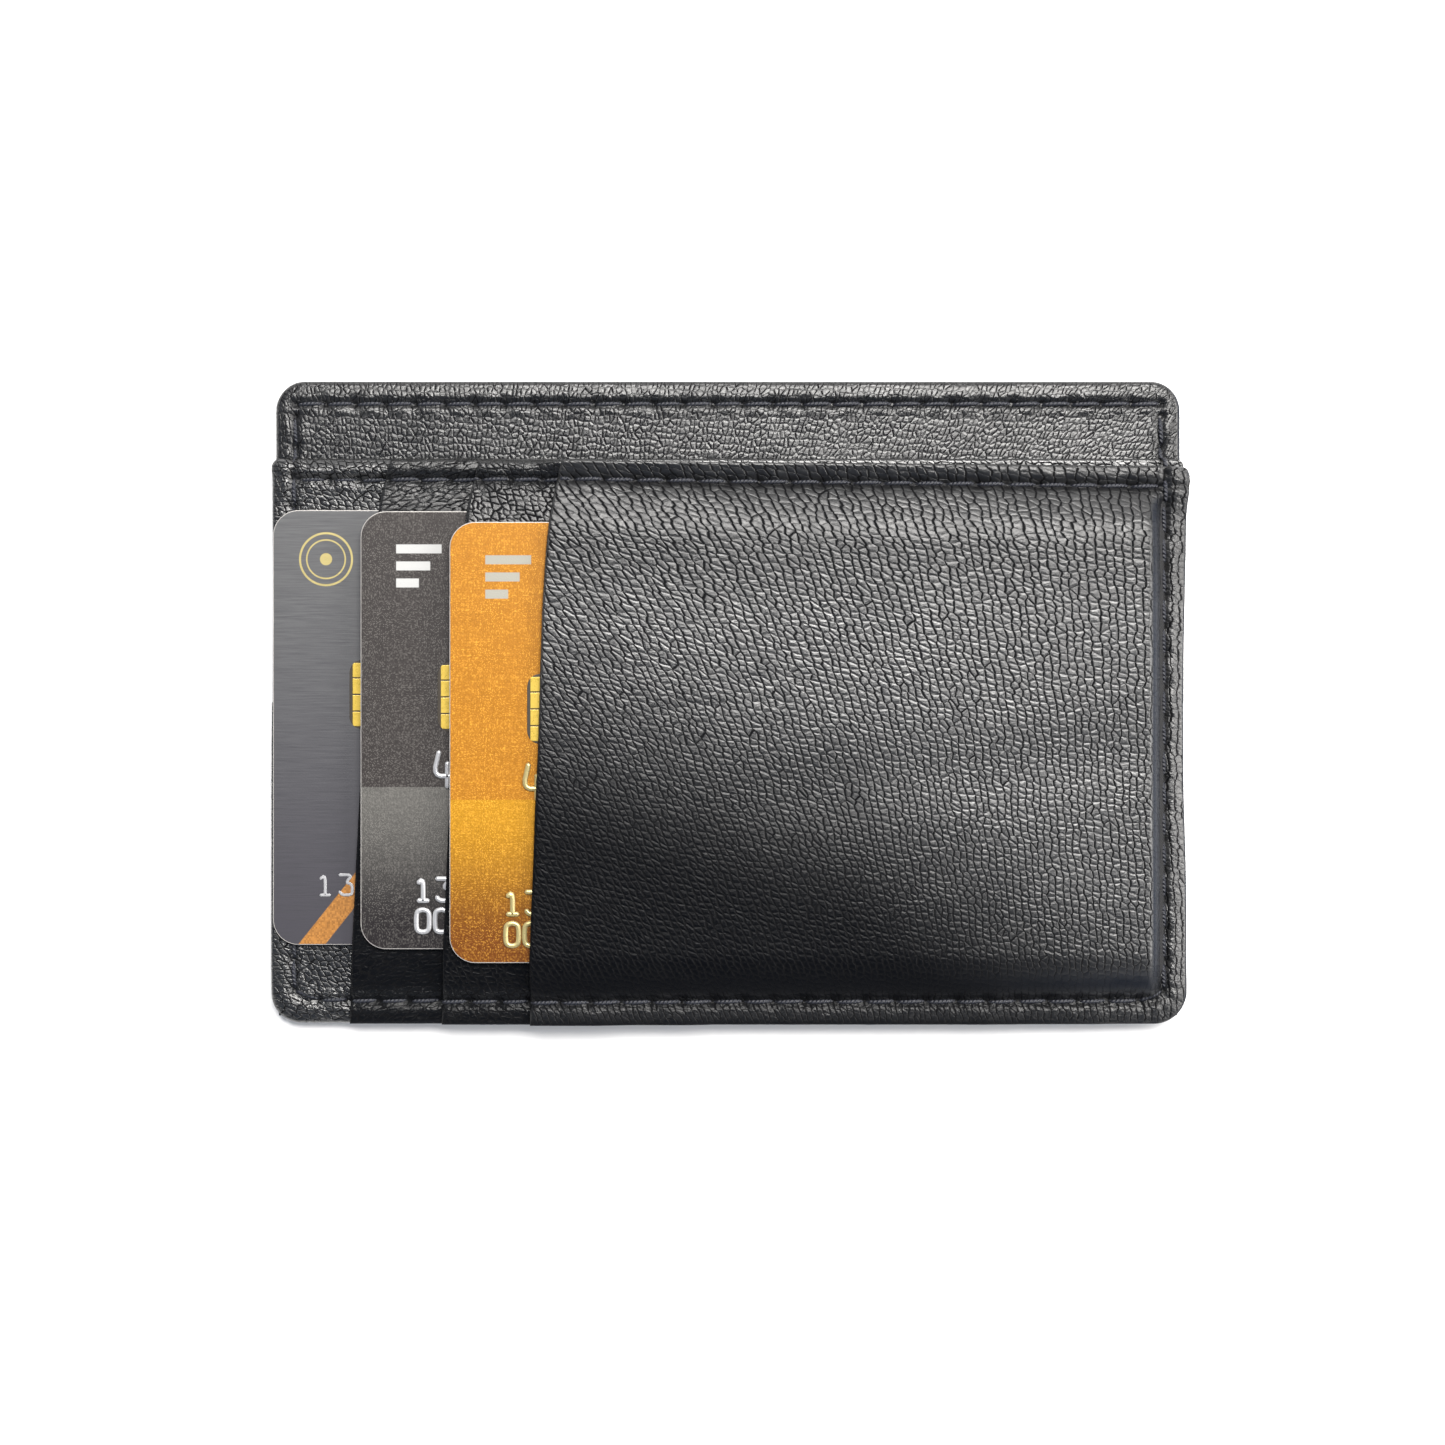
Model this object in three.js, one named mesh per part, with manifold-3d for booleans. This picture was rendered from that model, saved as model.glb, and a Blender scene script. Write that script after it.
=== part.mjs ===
// Slim leather card holder: three staggered card pockets that load from the side, and a note pocket
// that loads from the top. Millimetres. The holder lies on its back: +X runs along its length away
// from the side where the cards go in, +Y towards the mouth of the note pocket, and +Z out of the
// front. The origin is the centre of the outline, on the flat back.
import * as THREE from "three";
import { mergeVertices } from "three/addons/utils/BufferGeometryUtils.js";
import Module from "manifold-3d";

const wasm = await Module();
wasm.setup();

// overall sizes
const holderLength = 114;
const holderHeight = 80.2;
const bandHeight = 9.8; // how far the back stands above the front's top edge
const backInset = 0.4; // the back is this much shorter than the front at each end
const cornerRadius = 3.7;
const mouthCornerRadius = 1.2; // at the two ends of the front's top edge

// thickness of each layer, and the clearances between them
const outerLeather = 0.6;
const boardThickness = 0.3;
const innerLeather = 0.5;
const liningThickness = 0.2;
const baseLeather = 0.5;
const pocketLeather = 0.5;
const frontLeather = 0.55;
const hemFold = 0.3; // thickness that the skived, turned-under edge adds to a pocket panel
const layerClearance = 0.05;
const noteClearance = 0.1; // the note pocket is empty and lies closed
const slotClearance = 0.15; // above a card in its pocket

// pockets
const pocketStep = 11.2; // from one pocket to the next
const cardShows = [12.4, 12.3, 11.4]; // how far each card stands out of its pocket
const stripLength = 27; // leather of pockets 1 and 2, from the pocket edge to where lining takes over
const hemWidth = 6;
const edgeLeans = [0.05, 0.045, 0.035]; // a pocket edge leans out by this much per millimetre down
const edgeFlare = 1.7; // and turns in by this much at its top
const edgeFlareLength = 5;
const topStep = 0.35; // each pocket panel ends this much below the one under it
const sideSlope = 1.4; // length of the drop past the cards' closed end
const bottomSlope = 4.1;
const topSlope = 2.1;
const stopSlope = 2.2;
const boardInset = 6; // the board stays inside the turned edges

// stitching
const seamInset = 2.9;
const frontSeamInset = 3.2; // from the front's top edge
const stitchPitch = 3.75;
const threadWidth = 0.5;
const threadHeight = 0.2;
const stitchRise = 0.06; // a stitch lies this much higher in its middle than at its holes
const channelDepth = 0.3; // the thread is pulled this deep into the leather
const channelClearance = 0.04;

// cards, to the usual card standard
const cardLength = 85.6;
const cardHeight = 53.98;
const cardThickness = 0.76;
const cardCornerRadius = 3.18;
const cardDrops = [3.25, 3.58, 5.07]; // of each card's centre below the holder's centre
const chipLength = 11.8;
const chipHeight = 8.6;
const chipCornerRadius = 1.6;
const chipFromEnd = 9.8;
const chipFromTop = 18.6;
const chipThickness = 0.2;
const stripeHeight = 12.7;
const stripeFromTop = 4;
const signatureLength = 70;
const signatureHeight = 9;
const signatureFromTop = 20;
const filmThickness = 0.08; // stripe and signature panel
const recessClearance = 0.02;

// finishes
const material = (color, roughness, metalness = 0) =>
  new THREE.MeshStandardMaterial({ color, roughness, metalness });
const leather = material(0x1f2023, 0.5);
const board = material(0x8c7a63, 0.9);
const lining = material(0x151517, 0.8);
const thread = material(0x0e0f12, 0.6);
const greyCard = material(0x5c5a60, 0.4);
const bronzeCard = material(0x4f4a4c, 0.4);
const goldCard = material(0xd38a2e, 0.35);
const chipGold = material(0xe0b24a, 0.3, 0.9);
const stripeBlack = material(0x141416, 0.5);
const signatureWhite = material(0xe8e6e0, 0.8);

// heights, from the table up
const boardLow = outerLeather + layerClearance;
const innerLow = boardLow + boardThickness + layerClearance;
const innerTop = innerLow + innerLeather;
const noteLow = innerTop + noteClearance;
const baseLow = noteLow + liningThickness + layerClearance;
const baseTop = baseLow + baseLeather;
const slotSpace = layerClearance + cardThickness + slotClearance + hemFold;
const closedSpace = layerClearance + hemFold;
const openLow = [0, 1, 2].map((k) => baseTop + slotSpace + k * (pocketLeather + slotSpace));

// places along X and Y
const rightSeam = holderLength / 2 - seamInset;
const stops = [2, 1, 0].map((k) => rightSeam - sideSlope - 0.9 - k * pocketStep);
const cardLefts = stops.map((x) => x - 0.3 - cardLength);
const pocketEdges = cardLefts.map((x, k) => x + cardShows[k]);
const stripEnds = pocketEdges.map((x) => x + stripLength);
const liningEnds = stops.map((x) => x + stopSlope + 1.3);
const bottom = -holderHeight / 2;
const bottomSeam = bottom + seamInset;
const frontTop = holderHeight / 2 - bandHeight;
const frontSeam = frontTop - frontSeamInset;
const slotBottom = bottomSeam + 0.6 + bottomSlope;
const slotTop = frontSeam - 0.4 - topSlope;

function solidOf(geometry) {
  const bare = geometry.clone();
  bare.deleteAttribute("normal");
  bare.deleteAttribute("uv");
  const merged = mergeVertices(bare, 1e-4);
  const mesh = new wasm.Mesh({
    numProp: 3,
    vertProperties: new Float32Array(merged.getAttribute("position").array),
    triVerts: new Uint32Array(merged.index.array),
  });
  return new wasm.Manifold(mesh);
}

function named(name, solid, finish) {
  const found = solid.getMesh();
  const geometry = new THREE.BufferGeometry();
  geometry.setAttribute("position", new THREE.BufferAttribute(found.vertProperties, 3));
  geometry.setIndex(new THREE.BufferAttribute(found.triVerts, 1));
  const flat = geometry.toNonIndexed();
  flat.computeVertexNormals();
  const mesh = new THREE.Mesh(flat, finish.clone());
  mesh.name = name;
  return mesh;
}

// A rectangle with its own radius at the lower and at the upper corners.
function roundedShape(left, right, low, high, lowRadius, highRadius) {
  const shape = new THREE.Shape();
  shape.absarc(left + lowRadius, low + lowRadius, lowRadius, Math.PI, 1.5 * Math.PI);
  shape.absarc(right - lowRadius, low + lowRadius, lowRadius, 1.5 * Math.PI, 2 * Math.PI);
  shape.absarc(right - highRadius, high - highRadius, highRadius, 0, 0.5 * Math.PI);
  shape.absarc(left + highRadius, high - highRadius, highRadius, 0.5 * Math.PI, Math.PI);
  return shape;
}

function prism(shape, low, high, curveSegments = 5) {
  const settings = { depth: high - low, bevelEnabled: false, curveSegments };
  return solidOf(new THREE.ExtrudeGeometry(shape, settings).translate(0, 0, low));
}

const smooth = (t) => {
  const u = Math.min(1, Math.max(0, t));
  return u * u * (3 - 2 * u);
};

// Lines from start to end that follow a smooth slope closely enough.
const slopeLines = (start, end, parts = 4) =>
  Array.from({ length: parts + 1 }, (_, i) => start + ((end - start) * i) / parts);

const sorted = (lines) => [...new Set(lines)].sort((a, b) => a - b);

// A sheet over the cells between the given lines, from one height to another, each a function of
// (x, y). Both faces split a cell along the same diagonal, so stacked sheets keep their distance.
function sheet(xLines, yLines, low, high) {
  const box = new THREE.BoxGeometry(1, 1, 1, xLines.length - 1, yLines.length - 1, 1);
  const under = box.groups[5];
  for (let i = under.start; i < under.start + under.count; i += 6) {
    const [a, b, d, , c] = box.index.array.slice(i, i + 5);
    box.index.array.set([a, b, c, a, c, d], i);
  }
  const at = box.getAttribute("position");
  for (let i = 0; i < at.count; i++) {
    const x = xLines[Math.round((at.getX(i) + 0.5) * (xLines.length - 1))];
    const y = yLines[Math.round((at.getY(i) + 0.5) * (yLines.length - 1))];
    at.setXYZ(i, x, y, at.getZ(i) > 0 ? high(x, y) : low(x, y));
  }
  return solidOf(box);
}

// How open pocket k is: 1 over its card, 0 at the seams and past its stop.
function openness(k, x, y) {
  const slope = k === 2 ? sideSlope : stopSlope;
  const along = 1 - smooth((x - stops[k]) / slope);
  const below = smooth((y - (slotBottom - bottomSlope)) / bottomSlope);
  const above = 1 - smooth((y - slotTop) / topSlope);
  return along * below * above;
}

// The underside of pocket panel k where the pocket is sewn shut, over the layers that reach there.
function closedLow(k, x) {
  let z = baseTop + closedSpace;
  for (let j = 0; j < k; j++) {
    z += pocketLeather * (1 - smooth((x - stripEnds[j]) / 2));
    z += closedSpace * (1 - smooth((x - liningEnds[j]) / 2));
  }
  return z;
}

function pocketLow(k, x, y) {
  const open = openness(k, x, y);
  return closedLow(k, x) * (1 - open) + openLow[k] * open;
}

const pocketTop = (k, x, y) => pocketLow(k, x, y) + (k === 2 ? frontLeather : pocketLeather);
const panelTopEdge = (k) => frontTop - (k + 1) * topStep;

// X of the edge that a card slides past.
function edgeOf(k, y) {
  const flare = edgeFlare * Math.exp((y - panelTopEdge(k)) / edgeFlareLength);
  return pocketEdges[k] + edgeLeans[k] * (y - slotTop) + flare;
}

// The outline of pocket panel k, from its edge plus an inset to a given X or to a given width.
function pocketShape(k, inset, right, width) {
  const ys = Array.from({ length: 12 }, (_, i) => bottom + (panelTopEdge(k) - bottom) * Math.sqrt(i / 11));
  const shape = new THREE.Shape();
  ys.forEach((y, i) => {
    if (i) shape.lineTo(edgeOf(k, y) + inset, y);
    else shape.moveTo(edgeOf(k, y) + inset, y);
  });
  if (width === undefined) {
    shape.lineTo(right, panelTopEdge(k));
    shape.lineTo(right, bottom);
    return shape;
  }
  ys.reverse().forEach((y) => shape.lineTo(edgeOf(k, y) + inset + width, y));
  return shape;
}

const frontPrism = () =>
  prism(
    roundedShape(-holderLength / 2, holderLength / 2, bottom, frontTop, cornerRadius, mouthCornerRadius),
    0,
    20,
  );

const backShape = (inset) => {
  const half = holderLength / 2 - backInset - inset;
  const radius = Math.max(1, cornerRadius - inset);
  return roundedShape(-half, half, bottom + inset, -bottom - inset, radius, radius);
};

// The lines where the surfaces of pocket k change slope.
function linesX(k, left, right) {
  const slope = k === 2 ? sideSlope : stopSlope;
  const lines = [left, right, ...slopeLines(stops[k], stops[k] + slope)];
  for (let j = 0; j < k; j++) {
    lines.push(...slopeLines(stripEnds[j], stripEnds[j] + 2, 2));
    lines.push(...slopeLines(liningEnds[j], liningEnds[j] + 2, 2));
  }
  return sorted(lines.filter((x) => x >= left && x <= right));
}

const linesY = () =>
  sorted([
    bottom - 1,
    ...slopeLines(slotBottom - bottomSlope, slotBottom),
    ...slopeLines(slotTop, slotTop + topSlope),
    frontTop + 1,
  ]);

// The upper surface at a place on a seam, taken as the highest within reach of a stitch's slope.
function seamSurface(x, y) {
  const reach = 0.9;
  const heights = [-reach, 0, reach].flatMap((dx) =>
    [-reach, 0, reach].map((dy) => {
      if (y + dy > frontTop) return innerTop;
      for (let k = 2; k >= 0; k--)
        if (x + dx > edgeOf(k, y + dy)) return pocketTop(k, x + dx, y + dy);
      return baseTop;
    }),
  );
  return Math.max(...heights);
}

// Places one half stitch apart along a path, with the height of the leather under each.
function seamPoints(path, height) {
  const stitches = Math.round(path.getLength() / stitchPitch);
  return path.getSpacedPoints(2 * stitches).map((p) => new THREE.Vector3(p.x, p.y, height(p.x, p.y)));
}

// A flat strand carried along the points, from low to high above each, lifted in mid-stitch.
function strand(points, width, low, high, lift) {
  const box = new THREE.BoxGeometry(1, 1, 1, points.length - 1, 1, 1);
  const at = box.getAttribute("position");
  for (let i = 0; i < at.count; i++) {
    const n = Math.round((at.getX(i) + 0.5) * (points.length - 1));
    const before = points[Math.max(0, n - 1)];
    const after = points[Math.min(points.length - 1, n + 1)];
    const along = after.clone().sub(before).setZ(0).normalize();
    const side = Math.sign(at.getY(i)) * (width / 2);
    const z = points[n].z + (at.getZ(i) > 0 ? high : low) + lift * (n % 2);
    at.setXYZ(i, points[n].x - along.y * side, points[n].y + along.x * side, z);
  }
  return solidOf(box);
}

const seamX = holderLength / 2 - seamInset;
const topSeam = -bottom - seamInset;
const seamRadius = 1.6;

// Down one side, along the bottom and up the other side.
function sidePath() {
  const path = new THREE.Path();
  path.moveTo(-seamX, topSeam - 1.5);
  path.absarc(-seamX + seamRadius, bottomSeam + seamRadius, seamRadius, Math.PI, 1.5 * Math.PI);
  path.absarc(seamX - seamRadius, bottomSeam + seamRadius, seamRadius, 1.5 * Math.PI, 2 * Math.PI);
  path.lineTo(seamX, topSeam - 1.5);
  return path;
}

function straightPath(y, inset) {
  const path = new THREE.Path();
  path.moveTo(-seamX + inset, y);
  path.lineTo(seamX - inset, y);
  return path;
}

const sideSeam = seamPoints(sidePath(), seamSurface);
const topEdgeSeam = seamPoints(straightPath(topSeam, 0), () => innerTop);
const frontEdgeSeam = seamPoints(straightPath(frontSeam, 1.4), seamSurface);
const sideSeamBehind = seamPoints(sidePath(), () => 0);
const topEdgeSeamBehind = seamPoints(straightPath(topSeam, 0), () => 0);

const topThread = (points) =>
  strand(points, threadWidth, -channelDepth, threadHeight - channelDepth, stitchRise);

const topChannel = (points) =>
  strand(points, threadWidth + 2 * channelClearance, -channelDepth - channelClearance, 12, 0);

const rearThread = (points) => strand(points, threadWidth, 0.02, 0.02 + threadHeight, 0);

const rearChannel = (points) =>
  strand(points, threadWidth + 2 * channelClearance, -1, threadHeight + 0.02 + channelClearance, 0);

const channels = topChannel(sideSeam).add(topChannel(topEdgeSeam)).add(topChannel(frontEdgeSeam));
const channelsBehind = rearChannel(sideSeamBehind).add(rearChannel(topEdgeSeamBehind));

const backPanel = () => prism(backShape(0), 0, outerLeather).subtract(channelsBehind);

const backBoard = () => prism(backShape(boardInset), boardLow, boardLow + boardThickness);

const backFacing = () => prism(backShape(0), innerLow, innerTop).subtract(channels);

const frontLayer = (low, high, inset) =>
  prism(
    roundedShape(
      -holderLength / 2 + inset,
      holderLength / 2 - inset,
      bottom + inset,
      frontTop - inset,
      cornerRadius,
      mouthCornerRadius,
    ),
    low,
    high,
  ).subtract(channels);

// Pocket panel k with its turned-under edge, from the edge to a given X.
function pocketPanel(k, right) {
  const xs = linesX(k, -holderLength / 2 - 1, right + 1);
  const low = (x, y) => pocketLow(k, x, y);
  const face = sheet(xs, linesY(), low, (x, y) => pocketTop(k, x, y));
  const fold = sheet(xs, linesY(), (x, y) => low(x, y) - hemFold, (x, y) => low(x, y) + pocketLeather / 2);
  return face
    .intersect(prism(pocketShape(k, 0, right), -1, 20))
    .add(fold.intersect(prism(pocketShape(k, 0, 0, hemWidth), -1, 20)))
    .intersect(frontPrism())
    .subtract(channels);
}

// The lining bonded under pocket panel k, from its turned edge to a given X.
function pocketLining(k, right) {
  const xs = linesX(k, -holderLength / 2 - 1, right + 1);
  const high = (x, y) => pocketLow(k, x, y) - layerClearance;
  return sheet(xs, linesY(), (x, y) => high(x, y) - liningThickness, high)
    .intersect(prism(pocketShape(k, hemWidth + 0.3, right), -1, 20))
    .intersect(frontPrism())
    .subtract(channels);
}

// The hidden seam that closes the far end of pocket k, lying on its lining.
function stopSeam(k) {
  const x = stops[k] + stopSlope + 0.5;
  const path = new THREE.Path();
  path.moveTo(x, slotBottom - 2);
  path.lineTo(x, slotTop + 1);
  const points = seamPoints(path, () => closedLow(k, x));
  return strand(points, threadWidth, 0, threadHeight, stitchRise);
}

function card(k, finish) {
  const left = cardLefts[k];
  const low = -cardDrops[k] - cardHeight / 2;
  const top = low + cardHeight;
  const z = openLow[k] - slotSpace + layerClearance;
  const zTop = z + cardThickness;
  const plate = (x, y, length, height, radius, zLow, zHigh) =>
    prism(roundedShape(x, x + length, y, y + height, radius, radius), zLow, zHigh, 4);
  const g = recessClearance;
  const chipAt = [left + chipFromEnd, top - chipFromTop - chipHeight];
  const stripeY = top - stripeFromTop - stripeHeight;
  const signatureAt = [left + 6, top - signatureFromTop - signatureHeight];
  const chip = plate(...chipAt, chipLength, chipHeight, chipCornerRadius, zTop - chipThickness, zTop);
  const chipRecess = plate(
    chipAt[0] - g,
    chipAt[1] - g,
    chipLength + 2 * g,
    chipHeight + 2 * g,
    chipCornerRadius,
    zTop - chipThickness - g,
    zTop + 1,
  );
  const stripe = plate(left, stripeY, cardLength, stripeHeight, 0.01, z, z + filmThickness);
  const stripeRecess = plate(
    left - 1,
    stripeY - g,
    cardLength + 2,
    stripeHeight + 2 * g,
    0.01,
    z - 1,
    z + filmThickness + g,
  );
  const signature = plate(...signatureAt, signatureLength, signatureHeight, 0.5, z, z + filmThickness);
  const signatureRecess = plate(
    signatureAt[0] - g,
    signatureAt[1] - g,
    signatureLength + 2 * g,
    signatureHeight + 2 * g,
    0.5,
    z - 1,
    z + filmThickness + g,
  );
  const body = plate(left, low, cardLength, cardHeight, cardCornerRadius, z, zTop)
    .subtract(chipRecess)
    .subtract(stripeRecess)
    .subtract(signatureRecess);
  const name = `card_${k + 1}`;
  const group = new THREE.Group();
  group.name = `${name}_group`;
  group.add(named(`${name}_body`, body, finish));
  group.add(named(`${name}_chip`, chip, chipGold));
  group.add(named(`${name}_magnetic_stripe`, stripe, stripeBlack));
  group.add(named(`${name}_signature_panel`, signature, signatureWhite));
  return group;
}

const holder = new THREE.Group();
holder.name = "card_holder";
holder.add(named("back_panel", backPanel(), leather));
holder.add(named("back_board", backBoard(), board));
holder.add(named("back_facing", backFacing(), leather));
holder.add(named("note_pocket_lining", frontLayer(noteLow, noteLow + liningThickness, 0.5), lining));
holder.add(named("base_panel", frontLayer(baseLow, baseTop, 0), leather));
holder.add(named("pocket_1_panel", pocketPanel(0, stripEnds[0]), leather));
holder.add(named("pocket_1_lining", pocketLining(0, liningEnds[0]), lining));
holder.add(named("pocket_2_panel", pocketPanel(1, stripEnds[1]), leather));
holder.add(named("pocket_2_lining", pocketLining(1, liningEnds[1]), lining));
holder.add(named("front_panel", pocketPanel(2, holderLength / 2), leather));
holder.add(named("front_lining", pocketLining(2, holderLength / 2 - 0.5), lining));
holder.add(named("pocket_1_stop_stitching", stopSeam(0), thread));
holder.add(named("pocket_2_stop_stitching", stopSeam(1), thread));
holder.add(named("side_seam_needle_thread", topThread(sideSeam), thread));
holder.add(named("side_seam_bobbin_thread", rearThread(sideSeamBehind), thread));
holder.add(named("top_edge_needle_thread", topThread(topEdgeSeam), thread));
holder.add(named("top_edge_bobbin_thread", rearThread(topEdgeSeamBehind), thread));
holder.add(named("front_edge_thread", topThread(frontEdgeSeam), thread));
holder.add(card(0, greyCard));
holder.add(card(1, bronzeCard));
holder.add(card(2, goldCard));

export default holder;
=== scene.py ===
import math
from types import SimpleNamespace

import bpy
import numpy as np
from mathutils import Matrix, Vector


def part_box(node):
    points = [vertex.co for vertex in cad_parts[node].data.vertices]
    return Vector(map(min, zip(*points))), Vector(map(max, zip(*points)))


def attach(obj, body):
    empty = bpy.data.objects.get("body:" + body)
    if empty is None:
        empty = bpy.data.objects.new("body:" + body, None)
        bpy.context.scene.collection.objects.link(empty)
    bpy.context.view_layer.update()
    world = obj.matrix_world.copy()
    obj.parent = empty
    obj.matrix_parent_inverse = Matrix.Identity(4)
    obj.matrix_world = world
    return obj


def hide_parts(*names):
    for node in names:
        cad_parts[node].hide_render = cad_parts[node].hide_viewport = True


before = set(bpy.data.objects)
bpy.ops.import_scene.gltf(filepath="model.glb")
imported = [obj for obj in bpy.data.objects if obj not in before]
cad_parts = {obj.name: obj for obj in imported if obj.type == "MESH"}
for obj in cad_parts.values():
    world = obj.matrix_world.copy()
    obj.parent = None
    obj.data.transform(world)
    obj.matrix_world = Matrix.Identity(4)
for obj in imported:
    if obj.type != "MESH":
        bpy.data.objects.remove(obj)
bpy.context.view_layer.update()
mm = 0.001


def nodeBox(name):  # lowest and highest corner of a CAD node, in millimetres
    low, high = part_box(name)
    return np.array(low) / mm, np.array(high) / mm


# the holder: sizes in millimetres, places taken from the frame
frontLow, frontHigh = nodeBox("base_panel")
backLow, backHigh = nodeBox("back_facing")
cardBoxes = [nodeBox(f"card_{k + 1}_body") for k in range(3)]
panelTops = [nodeBox(name)[1][2] for name in ("pocket_1_panel", "pocket_2_panel", "front_panel")]
panelEdges = [nodeBox(name)[1][1] for name in ("pocket_1_panel", "pocket_2_panel", "front_panel")]

holder = dict(
    cornerRadius=3.7,
    mouthRadius=1.2,  # the upper corners of the base and the front
    seamInset=2.9,
    seamRadius=1.6,  # the side seam's turn at the lower corners
    frontSeam=27.1,  # Y of the front's top seam
    seamTilt=-0.010,  # the front's top seam falls this much per millimetre to the right
    pitch=3.77,
    leather=0.5,
    frontLeather=0.55,
    hem=0.3,  # what a turned edge adds to a panel's thickness
    hemWidth=6.0,
    gap=0.05,  # between two layers that are sewn shut
    least=0.03,  # an underside stays at least this far from its top and from a card
    stripLength=27.0,
    stripShown=13.0,  # a strip is only fully shaped as far as it can be seen
    cardShows=(12.7, 12.7, 11.9),  # how far each card stands out of its pocket
    leans=(0.050, 0.045, 0.035),  # lean of each pocket's edge
    flare=1.7,  # how far a pocket's edge swings back towards its top corner
    flareLength=5.0,
    rightSlope=1.9,  # widths of the slopes from a card's height down to the seams
    stopSlope=2.2,
    bottomSlope=4.4,
    topSlope=2.1,
    topRise=7.5,
)

halfLength = frontHigh[0]
bottom = frontLow[1]
seamX = halfLength - holder["seamInset"]
bottomSeam = bottom + holder["seamInset"]
topSeam = -bottom - holder["seamInset"]
baseTop = frontHigh[2]
backTop = backHigh[2]
closedSpace = holder["gap"] + holder["hem"]
thickness = (holder["leather"], holder["leather"], holder["frontLeather"])
stops = [box[1][0] + 0.3 for box in cardBoxes]
slotBottom = bottomSeam + 0.5 + holder["bottomSlope"]
slotTop = holder["frontSeam"] - 0.4 - holder["topSlope"]


# -- numbers and noise

def ease(t):  # 3t2 - 2t3 between 0 and 1
    t = np.clip(t, 0.0, 1.0)
    return t * t * (3 - 2 * t)


def bell(t):  # exp(-t2)
    return np.exp(-t * t)


def patches(x, y, size, seed):  # smooth random patches of the given size, from -1 to 1
    table = np.random.default_rng(seed).random((97, 97)) * 2 - 1
    gx, gy = x / size + 31.3, y / size + 47.7
    ix, iy = np.floor(gx).astype(int), np.floor(gy).astype(int)
    tx, ty = ease(gx - ix), ease(gy - iy)
    low = table[iy % 97, ix % 97] * (1 - tx) + table[iy % 97, (ix + 1) % 97] * tx
    high = table[(iy + 1) % 97, ix % 97] * (1 - tx) + table[(iy + 1) % 97, (ix + 1) % 97] * tx
    return low * (1 - ty) + high * ty


def ridges(x, y, size, seed):  # narrow crests where the patches change sign, from 0 to 1
    return (1 - np.abs(patches(x, y, size, seed))) ** 4


def roundedDistance(x, y, left, right, low, high, radius):  # inside distance to a rounded rectangle
    cx, cy = (left + right) / 2, (low + high) / 2
    dx = np.abs(x - cx) - (right - left) / 2 + radius
    dy = np.abs(y - cy) - (high - low) / 2 + radius
    outside = np.hypot(np.maximum(dx, 0), np.maximum(dy, 0)) + np.minimum(np.maximum(dx, dy), 0)
    return radius - outside


def lines(*spans):  # (start, end, step), ... -> one rising row of grid lines
    found = [np.linspace(a, b, max(2, int(round((b - a) / step)) + 1)) for a, b, step in spans]
    return np.unique(np.round(np.concatenate(found), 4))


# -- seams: each is a list of hole places, and a distance field

def spacedPoints(corners, pitch):  # points one pitch apart along a polyline
    corners = np.array(corners, float)
    steps = np.hypot(*np.diff(corners, axis=0).T)
    along = np.concatenate([[0], np.cumsum(steps)])
    count = int(round(along[-1] / pitch))
    at = np.linspace(0, along[-1], count + 1)
    return np.stack([np.interp(at, along, corners[:, i]) for i in (0, 1)], axis=1)


def cornerArc(cx, cy, radius, start, end, count=9):
    a = np.radians(np.linspace(start, end, count))
    return [(cx + radius * math.cos(t), cy + radius * math.sin(t)) for t in a]


r = holder["seamRadius"]
sideCorners = (
    [(-seamX, topSeam - 1.5)]
    + cornerArc(-seamX + r, bottomSeam + r, r, 180, 270)
    + cornerArc(seamX - r, bottomSeam + r, r, 270, 360)
    + [(seamX, topSeam - 1.5)]
)
sideHoles = spacedPoints(sideCorners, holder["pitch"])
topHoles = spacedPoints([(-seamX, topSeam), (seamX, topSeam)], holder["pitch"])
frontSeamAt = lambda x: holder["frontSeam"] + holder["seamTilt"] * x
frontHoles = spacedPoints(
    [(-seamX + 0.6, frontSeamAt(-seamX)), (seamX - 0.6, frontSeamAt(seamX))], holder["pitch"]
)
faceHoles = np.concatenate([sideHoles, frontHoles])
backHoles = np.concatenate([sideHoles, topHoles])
farAway = 9.0  # a distance past every groove and crease


def sideSeamDistance(x, y):
    inside = roundedDistance(x, y, -seamX, seamX, bottomSeam, 80, r)
    return np.where(y < topSeam - 1.0, np.abs(inside), farAway)


def frontSeamDistance(x, y):  # the last stitch at the right is pulled over the edge
    reach = np.maximum(np.maximum(-seamX - x, x - halfLength), 0)
    return np.hypot(y - frontSeamAt(x), reach)


def topSeamDistance(x, y):
    reach = np.maximum(np.abs(x) - seamX, 0)
    return np.hypot(y - topSeam, reach)


def holeDistance(x, y, holes):  # distance to the nearest stitch hole
    found = np.full(x.shape, farAway)
    for hx, hy in holes:
        found = np.minimum(found, np.hypot(x - hx, y - hy))
    return found


def faceSeams(x, y):  # distances to the seams of the front assembly and to their holes
    return np.minimum(sideSeamDistance(x, y), frontSeamDistance(x, y)), holeDistance(x, y, faceHoles)


# how far the thread pulls the leather down: a groove along the seam, a dimple and a pit at each hole
def pulled(distance, toHole, groove=0.20, dimple=0.14, pit=0.30):
    return groove * bell(distance / 0.36) + dimple * bell(toHole / 0.85) + pit * bell(toHole / 0.32)


# the leather between two holes puffs up beside the thread
def puffs(distance, toHole, height=0.20):
    return height * bell((distance - 0.80) / 0.5) * ease((toHole - 0.5) / 1.3)


# -- heights of the pocket panels

def edgeOf(k, y):  # X of the edge that a card slides past
    edge = cardBoxes[k][0][0] + holder["cardShows"][k]
    flare = holder["flare"] * np.exp((y - panelEdges[k]) / holder["flareLength"])
    return edge + holder["leans"][k] * (y - slotTop) + flare


def stripEnd(k):  # X where leather strip k ends and only its lining goes on
    return cardBoxes[k][0][0] + holder["cardShows"][k] + holder["stripLength"]


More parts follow.
